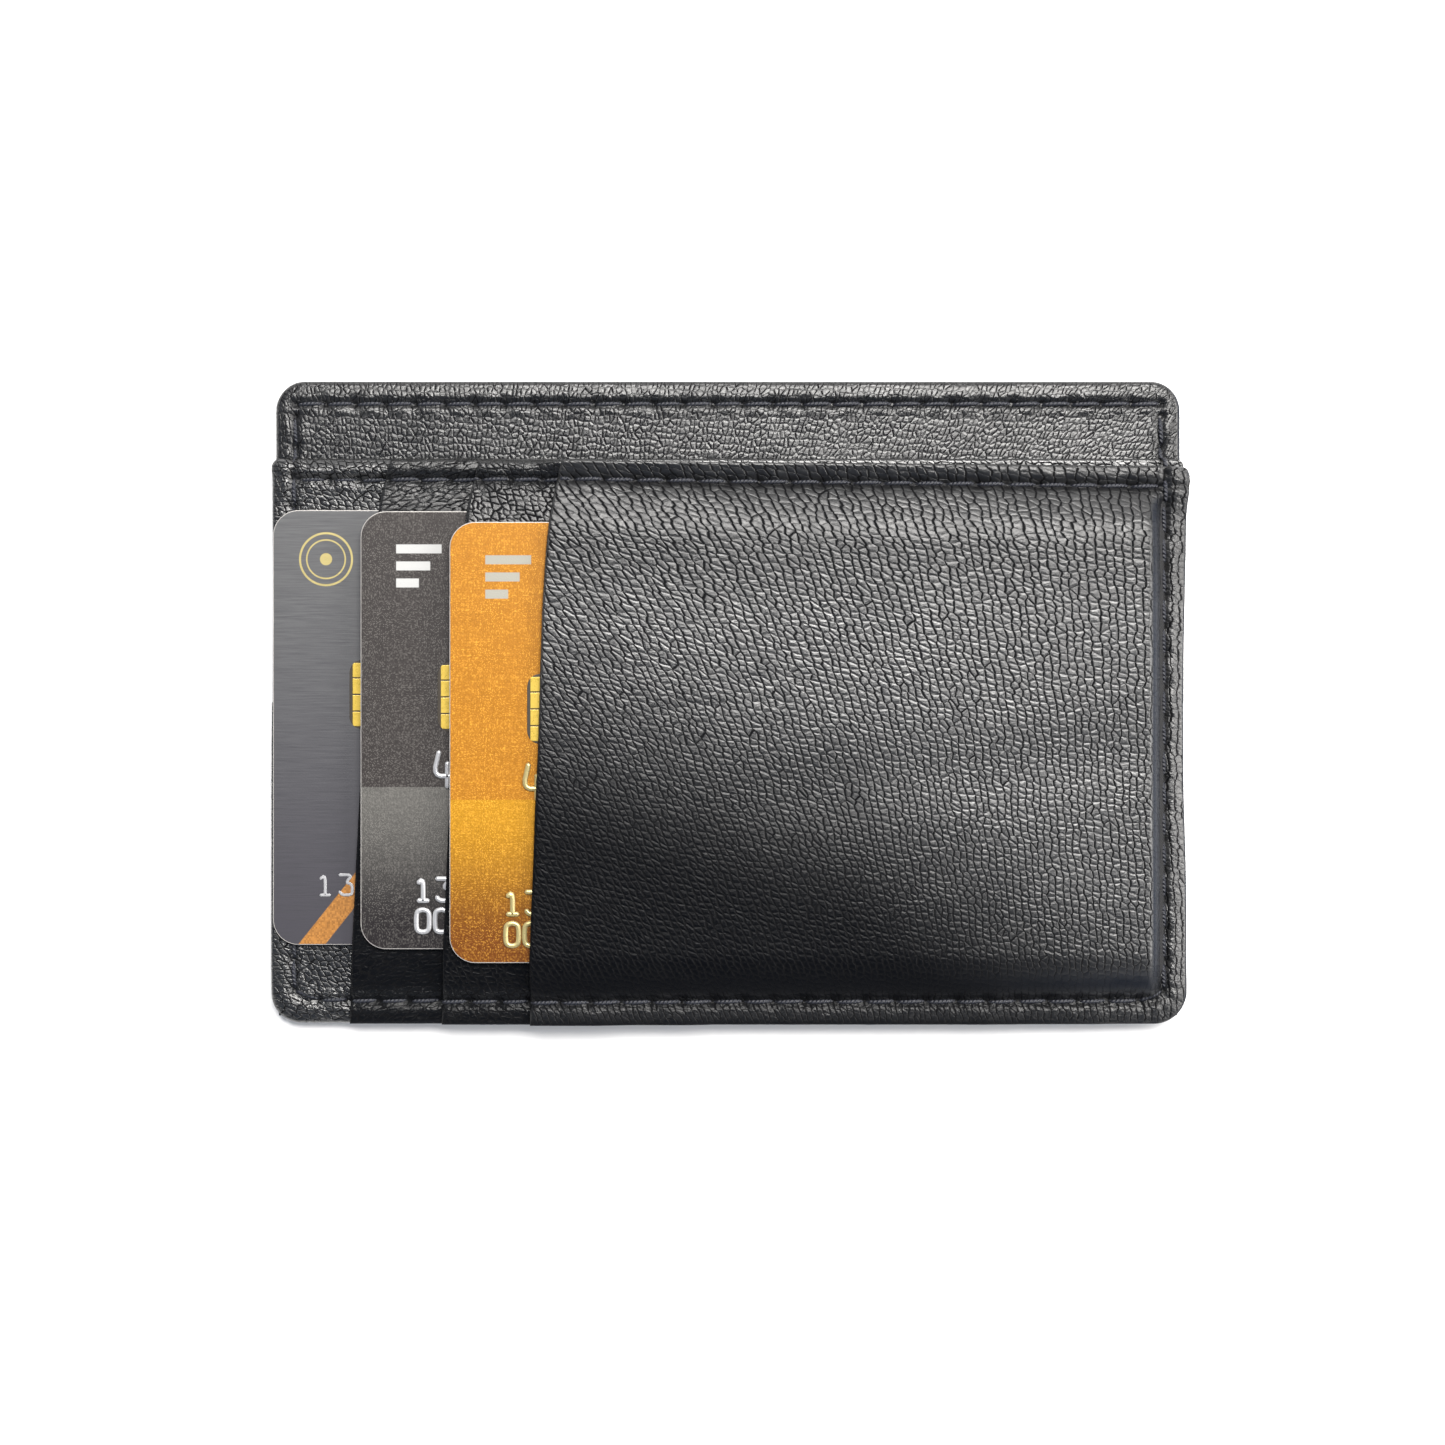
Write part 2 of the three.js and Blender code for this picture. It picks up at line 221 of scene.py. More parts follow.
def openness(k, x, y):  # 1 over the card, 0 at the seams and past the pocket's end
    slope = holder["rightSlope"] if k == 2 else holder["stopSlope"]
    reach = np.clip((stops[k] + slope - 0.1 - x) / (slope + 0.6), 0, 1)
    along = 1 - (1 - reach) ** 2.3
    rise = np.clip((y - (slotBottom - holder["bottomSlope"])) / (holder["bottomSlope"] + 1.3), 0, 1)
    below = 1 - (1 - rise) ** 1.9
    sink = np.clip((frontSeamAt(x) - 0.2 - y) / holder["topRise"], 0, 1)
    above = 1 - (1 - sink) ** 2.5
    return along * below * above


def closedTop(k, x):  # top of panel k where the pocket is sewn shut
    z = baseTop + closedSpace + 0 * x
    for j in range(k):
        z = z + thickness[j] * (1 - ease((x - stripEnd(j)) / 5))
        z = z + closedSpace * (1 - ease((x - stops[j] - 3.5) / 5))
    return z + thickness[k]


def panelTop(k, x, y):  # the turned top edges of the panels under it lift each panel a little there
    open_ = openness(k, x, y)
    shut = closedTop(k, x) + (k + 1) * holder["hem"] * ease((y - 22.5) / 3)
    return shut * (1 - open_) + panelTops[k] * open_


def clearOfCard(k, x, y, z, room=holder["least"]):  # an underside never sinks into the card below it
    low, high = cardBoxes[k]
    side = 0.4
    over = (x > low[0] - side) & (x < high[0] + side) & (y > low[1] - side) & (y < high[1] + side)
    return np.where(over, np.maximum(z, high[2] + room), z)


# the roll of the front's turned top edge: it rises from the seam to a crest near the edge, high
# over the first part of the front panel and lower towards its end
def topRoll(x, y):
    above = y - frontSeamAt(x)
    main = ease((x + 24) / 4)
    high = 0.50 + 0.55 * main * (1 - 0.75 * ease((x - 8) / 34)) + 0.10 * patches(x, 0 * x, 4, 81)
    crest = 1.35 + main * (0.95 - 0.6 * ease((x - 12) / 30)) + 0.12 * patches(x, 0 * x, 3, 83)
    fall = 1 - 0.60 * ease((above - crest) / (3.6 - crest))
    return high * ease(above / crest) * fall * (above > 0)


def settled(k, x, y, under, d):  # along its turned top edge a panel is pressed onto what lies under it
    z = baseTop + 0 * x
    for j in range(k):
        shown = 1 - ease((x - edgeOf(j, y) - holder["stripShown"]) / 2)
        z = np.where(x < stripEnd(j) + 0.3, np.maximum(z, panelTop(j, x, y) + topRoll(x, y) * shown), z)
    filled = ease((y - 27.2) / 0.6)
    return under * (1 - filled) + (z + 0.05 + rim(d, 0.3)) * filled


# the allowance outside a seam: a puffed crest next to the stitches, then a fall to the edge
def allowance(x, y, edgeDistance, crest=0.22, fall=0.35):
    width = holder["seamInset"]
    out = np.clip(1 - edgeDistance / width, 0, 1) * (edgeDistance < width)
    lumps = 1 + 0.6 * patches(x, y, 1.6, 5) + 0.4 * patches(x, y, 0.8, 6)
    return crest * bell((out - 0.40) / 0.26) * lumps * (out > 0) - fall * ease((out - 0.60) / 0.40)


def rim(distance, radius):  # quarter round at a turned edge: r - sqrt(r2 - (r - d)2)
    inward = np.clip(radius - distance, 0, radius)
    return radius - np.sqrt(np.maximum(radius * radius - inward * inward, 0))


# -- meshes

def newObject(name, co, faces, body, smooth=True, values=None):
    mesh = bpy.data.meshes.new(name)
    mesh.from_pydata([tuple(p) for p in (co * mm).tolist()], [], faces)
    mesh.polygons.foreach_set("use_smooth", np.full(len(mesh.polygons), smooth))
    for key, field in (values or {}).items():
        layer = mesh.attributes.new(key, "FLOAT", "POINT")
        layer.data.foreach_set("value", np.asarray(field, np.float32))
    mesh.update()
    obj = bpy.data.objects.new(name, mesh)
    bpy.context.scene.collection.objects.link(obj)
    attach(obj, body)
    return obj


# A closed sheet: an upper and a lower surface over one grid, joined round their rim.
def shell(name, x, y, top, under, values=None, body="holder"):
    rows, cols = x.shape
    n = rows * cols
    co = np.concatenate([np.stack([x, y, z], axis=-1).reshape(-1, 3) for z in (top, under)])
    i = np.arange(n).reshape(rows, cols)
    quads = np.stack([i[:-1, :-1], i[:-1, 1:], i[1:, 1:], i[1:, :-1]], axis=-1).reshape(-1, 4)
    ring = np.concatenate([i[0, :-1], i[:-1, -1], i[-1, :0:-1], i[:0:-1, 0]])
    after = np.roll(ring, -1)
    wall = np.stack([ring + n, after + n, after, ring], axis=-1)
    faces = np.concatenate([quads, quads[:, ::-1] + n, wall]).tolist()
    both = {key: np.tile(field.reshape(-1), 2) for key, field in (values or {}).items()}
    return newObject(name, co, faces, body, values=both)


# Grid of a sheet whose rows end on the rounded outline: x runs from leftOf(y) to rightOf(y).
def outlineGrid(us, ys, leftOf, rightOf):
    y = np.repeat(ys[:, None], len(us), axis=1)
    left, right = leftOf(ys)[:, None], rightOf(ys)[:, None]
    x = left + (right - left) * us[None, :]
    return x, y


def cornerInset(y, low, high, lowRadius, highRadius):  # how far a rounded corner pulls a row in
    a = np.clip(lowRadius - (y - low), 0, lowRadius)
    b = np.clip(highRadius - (high - y), 0, highRadius)
    pull = lambda radius, d: radius - np.sqrt(np.maximum(radius * radius - d * d, 0))
    return np.maximum(pull(lowRadius, a), pull(highRadius, b))


def rowsWithRim(low, high, *spans):  # grid lines crowded against both ends
    crowd = np.array([0, 0.03, 0.1, 0.2, 0.34, 0.5, 0.7, 0.95])
    inner = lines(*spans)
    inner = inner[(inner > low + 1.1) & (inner < high - 1.1)]
    return np.concatenate([low + crowd, inner, (high - crowd)[::-1]])


def normalized(xs):
    return (xs - xs[0]) / (xs[-1] - xs[0])


# -- the holder's leather

def wobble(y, seed, size):  # a hand-made edge is never quite straight
    return size * patches(y, 0 * y, 14, seed) + 0.35 * size * patches(y, 0 * y, 4, seed + 1)


# What the leather's finish varies with: where it is drawn tight over a drop towards the end or the lower
# edge (there bluish shade is painted), where it is crumpled, its turned edge, and the thread's grooves and
# holes (there dark shade is painted).
def fields(x, y, z, crumple, edge, seam, toHole):
    dx = np.gradient(x, axis=1) + 1e-6
    dy = np.gradient(y, axis=0) + 1e-6
    slopeX, slopeY = np.gradient(z, axis=1) / dx, np.gradient(z, axis=0) / dy
    drop = np.maximum(-slopeX, slopeY)
    # painted shade: the seam grooves and stitch holes, which are later given the cracks' near-black colour
    pit = np.maximum(0.45 * bell(seam / 0.30), bell(toHole / 0.42))
    return dict(
        stretchAndShade=ease((drop - 0.3) / 0.8) * (1 - bell(seam / 1.6)),
        crumple=np.clip(crumple, 0, 1),
        edge=np.clip(edge, 0, 1),
        pit=np.clip(pit, 0, 1),
    )


def makeBackPanel():
    low, high = backLow, backHigh
    ys = rowsWithRim(low[1], high[1], (low[1], high[1], 0.5))
    us = normalized(rowsWithRim(low[0], high[0], (low[0], high[0], 0.55)))
    inset = lambda y: cornerInset(y, low[1], high[1], holder["cornerRadius"], holder["cornerRadius"])
    x, y = outlineGrid(us, ys, lambda y: low[0] + inset(y), lambda y: high[0] - inset(y))
    d = roundedDistance(x, y, low[0], high[0], low[1], high[1], holder["cornerRadius"])
    around = np.abs(roundedDistance(x, y, -seamX, seamX, bottomSeam, topSeam, r))
    toHole = holeDistance(x, y, backHoles)
    press = pulled(around, toHole, 0.16, 0.05, 0.15) + 0.04 * bell(around / 1.4)
    under = rim(d, 0.45) + np.minimum(press, 0.34)
    top = 0.6 + 0.35 * ease((5.5 - d) / 1.0) - rim(d, 0.3) * 0.4
    values = fields(x, y, 0 * x, bell((around - 1.2) / 0.9) * 0.7, ease(1 - d / 0.8), around, toHole)
    return shell("back_panel_leather", x, y, top, under, values)


def makeBackFacing():
    low, high = backLow, backHigh
    ys = rowsWithRim(low[1], high[1], (low[1], 26, 4), (26, 28, 1), (28, high[1], 0.26))
    us = normalized(rowsWithRim(low[0], high[0], (low[0], high[0], 0.34)))
    inset = lambda y: cornerInset(y, low[1], high[1], holder["cornerRadius"], holder["cornerRadius"])
    left = lambda y: low[0] + inset(y) + wobble(y, 3, 0.08)
    right = lambda y: high[0] - inset(y) + wobble(y, 5, 0.08)
    x, y = outlineGrid(us, ys, left, right)
    d = roundedDistance(x, y, low[0], high[0], low[1], high[1], holder["cornerRadius"])
    seam = np.where(y > 29, np.minimum(topSeamDistance(x, y), sideSeamDistance(x, y)), farAway)
    toHole = holeDistance(x, y, backHoles)
    band = ease((y - 28.5) / 3)
    z = backTop + 0.12 * patches(x, y, 11, 11) * band + 0.03 * patches(x, y, 3.5, 12) * band
    z = z + allowance(x, y, d, 0.10, 0.12) * band + puffs(seam, toHole, 0.13) * band
    z = z - pulled(seam, toHole, 0.24, 0.12, 0.40) * band - rim(d, 0.62)
    under = np.minimum(backLow[2] - 0.03 + rim(d, 0.12), z - holder["least"])
    crumple = bell((seam - 0.9) / 0.6) * 0.45 * band
    values = fields(x, y, z, crumple, ease(1 - d / 0.75), seam, toHole)
    return shell("back_facing_leather", x, y, z, under, values)


def makeBasePanel():
    low, high = frontLow.copy(), frontHigh.copy()
    ys = rowsWithRim(low[1], high[1], (low[1], high[1], 0.34))
    us = normalized(rowsWithRim(low[0], high[0], (low[0], -28, 0.32), (-28, high[0], 2.5)))
    inset = lambda y: cornerInset(y, low[1], high[1], holder["cornerRadius"], holder["mouthRadius"])
    left = lambda y: low[0] + inset(y) + 0.25 * bell((y - 10) / 22) + wobble(y, 21, 0.06)
    x, y = outlineGrid(us, ys, left, lambda y: high[0] - 0.25 - inset(y))
    d = roundedDistance(x, y, low[0], high[0] - 0.25, low[1], high[1], holder["cornerRadius"])
    d = np.where(y > 0, np.minimum(x - left(y), np.minimum(high[0] - x, high[1] - y)), d)
    shown = 1 - ease((x + 30) / 3)
    seam, toHole = faceSeams(x, y)
    clear = (1 - openness(0, x, y)) * shown
    z = baseTop + clear * (0.07 + 0.09 * patches(x, y, 6, 23) + 0.05 * patches(x, y, 2.2, 24))
    z = z + (allowance(x, y, d, 0.16, 0.25) + puffs(seam, toHole)) * clear
    z = z + topRoll(x, y) * shown - pulled(seam, toHole) * shown - rim(d, 0.45)
    under = np.minimum(backTop + 0.03 + rim(d, 0.15), z - holder["least"])
    crumple = np.maximum(bell((seam - 0.9) / 0.8), bell((y - 28.4) / 1.3) * 0.6) * shown
    values = fields(x, y, 0 * z, crumple, ease(1 - d / 0.6), seam, toHole)
    return shell("base_panel_leather", x, y, z, under, values)


def makeStrip(k):
    top = panelEdges[k]
    end = stripEnd(k)
    ys = rowsWithRim(bottom, top, (bottom, top, 0.34))
    left = lambda y: edgeOf(k, y) + wobble(y, 31 + k, 0.07)
    width = end - edgeOf(k, 0.0)
    us = normalized(rowsWithRim(0, width, (0, 15, 0.32), (15, width, 2.5)))
    x, y = outlineGrid(us, ys, left, lambda y: end + 0 * y)
    d = np.minimum(x - left(y), np.minimum(y - bottom, top - y))
    shown = 1 - ease((x - left(y) - holder["stripShown"]) / 2)
    seam, toHole = faceSeams(x, y)
    clear = (1 - openness(k, x, y)) * shown
    z = panelTop(k, x, y)
    z = z + clear * (0.08 * patches(x, y, 5, 41 + k) + 0.05 * patches(x, y, 2.0, 43 + k))
    z = z + (allowance(x, y, y - bottom, 0.16, 0.30) + puffs(seam, toHole)) * clear
    z = z + topRoll(x, y) * shown - pulled(seam, toHole) * shown - rim(d, 0.40)
    hem = holder["hem"] * (1 - ease((x - left(y) - holder["hemWidth"]) / 0.5))
    under = clearOfCard(k, x, y, panelTop(k, x, y) - holder["leather"] - hem + rim(d, 0.35))
    under = np.minimum(settled(k, x, y, under, d), z - holder["least"])
    crumple = np.maximum(bell((seam - 0.9) / 0.8), bell((y - 28.4) / 1.3) * 0.6) * shown
    values = fields(x, y, z, crumple, ease(1 - d / 0.6), seam, toHole)
    return shell(f"pocket_{k + 1}_leather", x, y, z, under, values)


def makeFrontPanel():
    k, far = 2, 200  # far: past every edge, so that only the lower right corner is rounded
    top, radius = panelEdges[k], holder["cornerRadius"] + 0.4
    ys = rowsWithRim(
        bottom, top, (bottom, bottom + 5, 0.26), (bottom + 5, top - 4, 0.46), (top - 4, top, 0.25)
    )
    left = lambda y: edgeOf(k, y) + wobble(y, 51, 0.08)
    dent = lambda y: 0.45 * bell((y + 4) / 17) - 0.2 * bell((y - 27.5) / 2.0)
    inset = lambda y: cornerInset(y, bottom, top, radius, holder["mouthRadius"])
    right = lambda y: halfLength - inset(y) - dent(y) + wobble(y, 53, 0.08)
    us = normalized(rowsWithRim(0, 80, (0, 73, 0.42), (73, 80, 0.26)))
    x, y = outlineGrid(us, ys, left, right)
    tilt = holder["seamTilt"] * 0.6 * (x - 20)
    y = y + tilt * ease((y - 24) / 5)
    corner = roundedDistance(x, y, -far, halfLength, bottom, far, radius)
    outer = np.minimum(corner, right(y) - x + 0.02)
    d = np.minimum(np.minimum(x - left(y), outer), top + tilt - y)
    seam, toHole = faceSeams(x, y)
    open_ = openness(k, x, y)
    clear = 1 - open_
    z = panelTop(k, x, y)
    # broad swells of leather that lies loose over the cards, and a long shallow hollow across it
    z = z + open_ * (0.16 * patches(x, y, 17, 71) + 0.05 * patches(x, y, 7, 72))
    z = z - 0.22 * open_ * bell((y + 11 - 0.12 * (x - 10)) / 4.5) * ease((x + 8) / 20)
    # fine creases gathered near the middle
    crease = ridges(x * 0.35, y * 1.6, 3.2, 75) * bell((x + 4) / 12) * bell((y - 1.5) / 3.0)
    z = z - 0.16 * crease
    z = z + clear * (0.06 * patches(x, y, 4, 77) + 0.05 * patches(x, y, 1.8, 78))
    z = z + (allowance(x, y, outer, 0.20, 0.22) + puffs(seam, toHole, 0.22)) * clear
    # gathers that run out from the lower right corner
    away = np.hypot(x - seamX + 2, y - bottomSeam - 2)
    angle = np.arctan2(y - bottomSeam - 2, x - seamX + 2)
    z = z + 0.12 * np.sin(angle * 14) * bell((away - 2.6) / 1.8) * clear
    z = z + topRoll(x, y) * (0.15 + 0.85 * ease(outer / 2.4)) - pulled(seam, toHole) - rim(d, 0.36)
    hem = holder["hem"] * (1 - ease((x - left(y) - holder["hemWidth"]) / 0.5))
    under = clearOfCard(k, x, y, panelTop(k, x, y) - holder["frontLeather"] - hem + rim(d, 0.35))
    shut = (1 - ease(open_ / 0.2)) * ease((x + 5) / 30)
    under = under - shut * 0.28
    # the top right corner is sewn flat on the base
    sewn = ease((y - 20) / 3) * ease((3.4 - outer) / 1.2)
    under = under * (1 - sewn) + (baseTop + 0.05 + rim(d, 0.3)) * sewn
    under = np.minimum(settled(k, x, y, under, d), z - holder["least"])
    crumple = np.maximum(bell((outer - 1.6) / 1.2), bell(seam / 0.9) * (y < 24))
    crumple = np.maximum(crumple, bell((y - 28.8) / 1.0) * 0.3)
    turned = ease(1 - d / (0.35 + 0.35 * (y < bottomSeam)))
    values = fields(x, y, z, crumple, turned, seam, toHole)
    return shell("front_panel_leather", x, y, z, under, values)


# -- linings: plain woven cloth bonded under the leather

def makeNoteLining():
    low, high = nodeBox("note_pocket_lining")
    ys, xs = lines((low[1] + 0.4, high[1] - 0.2, 2.0)), lines((low[0] + 0.4, high[0] - 0.4, 2.0))
    x, y = np.meshgrid(xs, ys)
    z = high[2] - 0.16 + 0 * x
    obj = shell("note_lining_cloth", x, y, z, z - 0.1)
    return obj


def makePocketLining(k, name, ends):
    low, high = nodeBox(name)
    ys = lines((low[1] + 0.6, high[1] - 0.6, 0.8))
    x, y = outlineGrid(
        np.linspace(0, 1, 60),
        ys,
        lambda y: edgeOf(k, y) + holder["hemWidth"] + 0.5,
        lambda y: high[0] - 0.8 - (cornerInset(y, bottom, 100, 3.7, 1) if ends else 0 * y),
    )
    z = clearOfCard(k, x, y, panelTop(k, x, y) - thickness[k] - 0.02, 0.10)
    under = np.minimum(clearOfCard(k, x, y, z - 0.2), z - 0.04)
    obj = shell(f"{name}_cloth", x, y, z, under)
    width = float(np.mean(x[:, -1] - x[:, 0])) * mm
    return obj


# -- stitches: a bowed strand from hole to hole, its ends drawn down into the leather

def tubeFaces(i):  # i: indices of the points, one row per ring; both ends are closed
    after = np.roll(i, -1, axis=1)
    quads = np.stack([i[:-1], after[:-1], after[1:], i[1:]], axis=-1).reshape(-1, 4)
    return quads.tolist() + [i[0, ::-1].tolist(), i[-1].tolist()]


def stitchRow(name, holes, surface, thread=0.27, sink=0.42, rise=0.10, slant=0.10, side=1):
    sides, steps = 7, 9
    t = np.linspace(0, 1, steps)
    a = np.linspace(0, 2 * np.pi, sides, endpoint=False)
    starts, ends = holes[:-1], holes[1:]
    along = ends - starts
    length = np.hypot(along[:, 0], along[:, 1])
    unit = along / length[:, None]
    across = np.stack([-unit[:, 1], unit[:, 0]], axis=1)
    # centre line: straight from hole to hole with a slant, bowed upwards by sin(pi t) ^ 0.55
    mid = starts[:, None, :] + along[:, None, :] * (0.04 + 0.92 * t)[None, :, None]
    mid = mid + across[:, None, :] * (slant * (2 * t - 1))[None, :, None]
    base = surface(mid[..., 0], mid[..., 1])
    bow = np.sin(np.pi * t) ** 0.55
    z = base + side * ((rise + sink) * bow - sink)[None, :]
    radius = thread * (0.62 + 0.38 * bow)
    ring = np.cos(a)[None, None, :, None] * across[:, None, None, :] * radius[None, :, None, None]
    xy = mid[:, :, None, :] + ring
    up = z[:, :, None] + np.sin(a)[None, None, :] * radius[None, :, None] * 0.8
    co = np.concatenate([xy, up[..., None]], axis=-1).reshape(-1, 3)
    one = np.arange(steps * sides).reshape(steps, sides)
    faces = []
    for n in range(len(starts)):
        faces += tubeFaces(one + n * steps * sides)
    twist = t[None, :, None] * length[:, None, None] + a[None, None, :] / (2 * np.pi)
    return newObject(name, co, faces, "holder", values=dict(ply=twist.reshape(-1)))


def frontSurface(x, y):  # where the seam threads lie
    z = np.where(y > frontHigh[1], backTop, baseTop)
    for k in range(3):
        onPanel = (x > edgeOf(k, y)) & (y < panelEdges[k] + 0.1)
        z = np.where(onPanel, panelTop(k, x, y), z)
    return z - 0.16


# -- cards

def roundedLoop(left, right, low, high, radius, inset, count=9):
    radius = max(radius - inset, 0.02)
    left, right, low, high = left + inset, right - inset, low + inset, high - inset
    pts = cornerArc(right - radius, high - radius, radius, 0, 90, count)
    pts += cornerArc(left + radius, high - radius, radius, 90, 180, count)
    pts += cornerArc(left + radius, low + radius, radius, 180, 270, count)
    pts += cornerArc(right - radius, low + radius, radius, 270, 360, count)
    return np.array(pts)


# A thin plate with a rounded outline; profile holds (inset, z) from the bottom round to the top.
def plate(name, left, right, low, high, radius, profile, body, count=9):
    loops = [roundedLoop(left, right, low, high, radius, inset, count) for inset, z in profile]
    n = len(loops[0])
    co = np.concatenate([np.column_stack([loop, np.full(n, z)]) for loop, (inset, z) in zip(loops, profile)])
    faces = tubeFaces(np.arange(len(profile) * n).reshape(len(profile), n))
    return newObject(name, co, faces, body, smooth=False)


# Strokes of the digits in a box one wide and 1.6 high; the corners are rounded off afterwards.
digits = {
    "0": [
        [(0.5, 1.6), (0.1, 1.5), (0, 1.2), (0, 0.4), (0.1, 0.1), (0.5, 0)]
        + [(0.9, 0.1), (1, 0.4), (1, 1.2), (0.9, 1.5), (0.5, 1.6)]
    ],
    "1": [[(0.15, 1.3), (0.5, 1.6), (0.5, 0)], [(0.15, 0), (0.85, 0)]],
    "2": [[(0, 1.25), (0.1, 1.6), (0.9, 1.6), (1, 1.2), (0.9, 0.9), (0, 0.25), (0, 0), (1, 0)]],
    "3": [[(0, 1.6), (1, 1.6), (0.45, 0.95), (0.95, 0.9), (1, 0.1), (0.7, 0), (0.2, 0), (0, 0.25)]],
    "4": [[(0.3, 1.6), (0, 0.5), (1, 0.5)], [(0.75, 1.1), (0.75, 0)]],
    "5": [[(1, 1.6), (0.1, 1.6), (0.05, 0.9), (0.8, 0.95), (1, 0.75), (1, 0.1), (0.6, 0), (0, 0)]],
    "6": [
        [(0.85, 1.6), (0.3, 1.4), (0, 0.8), (0, 0.1), (0.2, 0)]
        + [(0.9, 0), (1, 0.2), (1, 0.75), (0.8, 0.85), (0, 0.8)]
    ],
    "7": [[(0, 1.6), (1, 1.6), (0.95, 1.3), (0.4, 0.6), (0.35, 0)]],
    "8": [
        [(0.5, 0.85), (0.1, 1.0), (0.1, 1.6), (0.9, 1.6), (0.9, 1.0), (0.5, 0.85)]
        + [(0, 0.7), (0, 0), (1, 0), (1, 0.7), (0.5, 0.85)]
    ],
    "9": [
        [(0.15, 0), (0.7, 0.2), (1, 0.8), (1, 1.5), (0.8, 1.6)]
        + [(0.1, 1.6), (0, 1.4), (0, 0.85), (0.2, 0.75), (1, 0.8)]
    ],
}


def rounded(points, rounds=2):  # each corner is cut at a quarter of its two sides, twice over
    pts = np.array(points, float)
    for _ in range(rounds):
        cut = np.stack([pts[:-1] * 0.75 + pts[1:] * 0.25, pts[:-1] * 0.25 + pts[1:] * 0.75], axis=1)
        pts = np.concatenate([pts[:1], cut.reshape(-1, 2), pts[-1:]])
    return pts


# Digits as rounded ridges on a card: each stroke is a tube whose ends close to a point.
def digitRow(name, words, x, y, z, size, pitch, line, rise, body):
    sides = 8
    a = np.linspace(0, 2 * np.pi, sides, endpoint=False) + np.pi / sides
    co, faces, count = [], [], 0
    for place, letter in enumerate(words):
        for stroke in digits.get(letter, []):
            path = rounded(stroke) * np.array([size[0], size[1] / 1.6]) + np.array([x + place * pitch, y])
            tangent = np.gradient(path, axis=0)
            tangent /= np.hypot(*tangent.T)[:, None] + 1e-9
            cap = tangent * line * 0.8
            path = np.concatenate([path[:1] - cap[:1], path, path[-1:] + cap[-1:]])
            tangent = np.concatenate([tangent[:1], tangent, tangent[-1:]])
            width = np.full(len(path), line)
            width[[0, -1]] = line * 0.25
            across = np.stack([-tangent[:, 1], tangent[:, 0]], axis=1)
            ring = path[:, None, :] + across[:, None, :] * (width[:, None] * np.cos(a))[..., None]
            up = z + np.sin(a)[None, :] * rise * (width / line)[:, None]
            co.append(np.concatenate([ring, up[..., None]], axis=-1).reshape(-1, 3))
            faces += tubeFaces(np.arange(len(path) * sides).reshape(len(path), sides) + count)
            count += len(path) * sides
    return newObject(name, np.concatenate(co), faces, body)


# A printed row: name, digits, X and Y from the card's lower left corner, size of a digit, pitch.
cards = dict(
    radius=3.18,
    chipFromEnd=9.5,
    chipFromTop=18.6,
    chipLength=12.1,
    chipHeight=8.6,
    chipRadius=1.6,
    toneLine=34.0,  # below the card's top edge
    raised=0.30,  # height of an embossed digit
    stroke=0.34,  # half width of its line
    embossed=[
        ("number", "4321 0987 6543 2100", 9.0, 20.0, (2.3, 4.3), 3.63),
        ("line", "1357 9135", 6.9, 6.0, (1.7, 2.7), 2.54),
        ("date", "00 00", 6.9, 2.1, (1.6, 2.8), 2.3),
    ],
    flatRaised=0.03,
    flatStroke=0.20,
    flat=[("line", "1357 9135", 5.7, 6.2, (1.6, 2.5), 2.6)],
)


def makeCard(k):
    low, high = cardBoxes[k]
    name, body = f"card_{k + 1}", f"card_{k + 1}"
    z0, z1 = low[2], high[2]
    profile = [(0.12, z0), (0.04, z0 + 0.03), (0.0, z0 + 0.10)]
    profile += [(0.0, z1 - 0.12), (0.04, z1 - 0.04), (0.15, z1)]
    card = plate(f"{name}_plate", low[0], high[0], low[1], high[1], cards["radius"], profile, body, 12)
    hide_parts(f"{name}_body")
    left, top = low[0] + cards["chipFromEnd"], high[1] - cards["chipFromTop"]
    chipProfile = [(0.0, z1 - 0.2), (0.0, z1 - 0.01), (0.03, z1 + 0.012), (0.1, z1 + 0.02)]
    right, foot = left + cards["chipLength"], top - cards["chipHeight"]
    chip = plate(f"{name}_chip_plate", left, right, foot, top, cards["chipRadius"], chipProfile, body)
    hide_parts(f"{name}_chip")
    return card, chip


# -- node trees written as sums

class Value:  # a shader socket that adds, multiplies and compares as a number does
    def __init__(self, paint, socket):
        self.paint, self.socket = paint, socket

    def __add__(self, other): return self.paint.math("ADD", self, other)
    def __radd__(self, other): return self.paint.math("ADD", other, self)
    def __sub__(self, other): return self.paint.math("SUBTRACT", self, other)
    def __rsub__(self, other): return self.paint.math("SUBTRACT", other, self)
    def __mul__(self, other): return self.paint.math("MULTIPLY", self, other)
    def __rmul__(self, other): return self.paint.math("MULTIPLY", other, self)
    def __truediv__(self, other): return self.paint.math("DIVIDE", self, other)
    def __rtruediv__(self, other): return self.paint.math("DIVIDE", other, self)
    def __abs__(self): return self.paint.math("ABSOLUTE", self)
    def floor(self): return self.paint.math("FLOOR", self)
    def least(self, other): return self.paint.math("MINIMUM", self, other)
    def most(self, other): return self.paint.math("MAXIMUM", self, other)
    def sine(self): return self.paint.math("SINE", self)
    def root(self): return self.paint.math("SQRT", self)


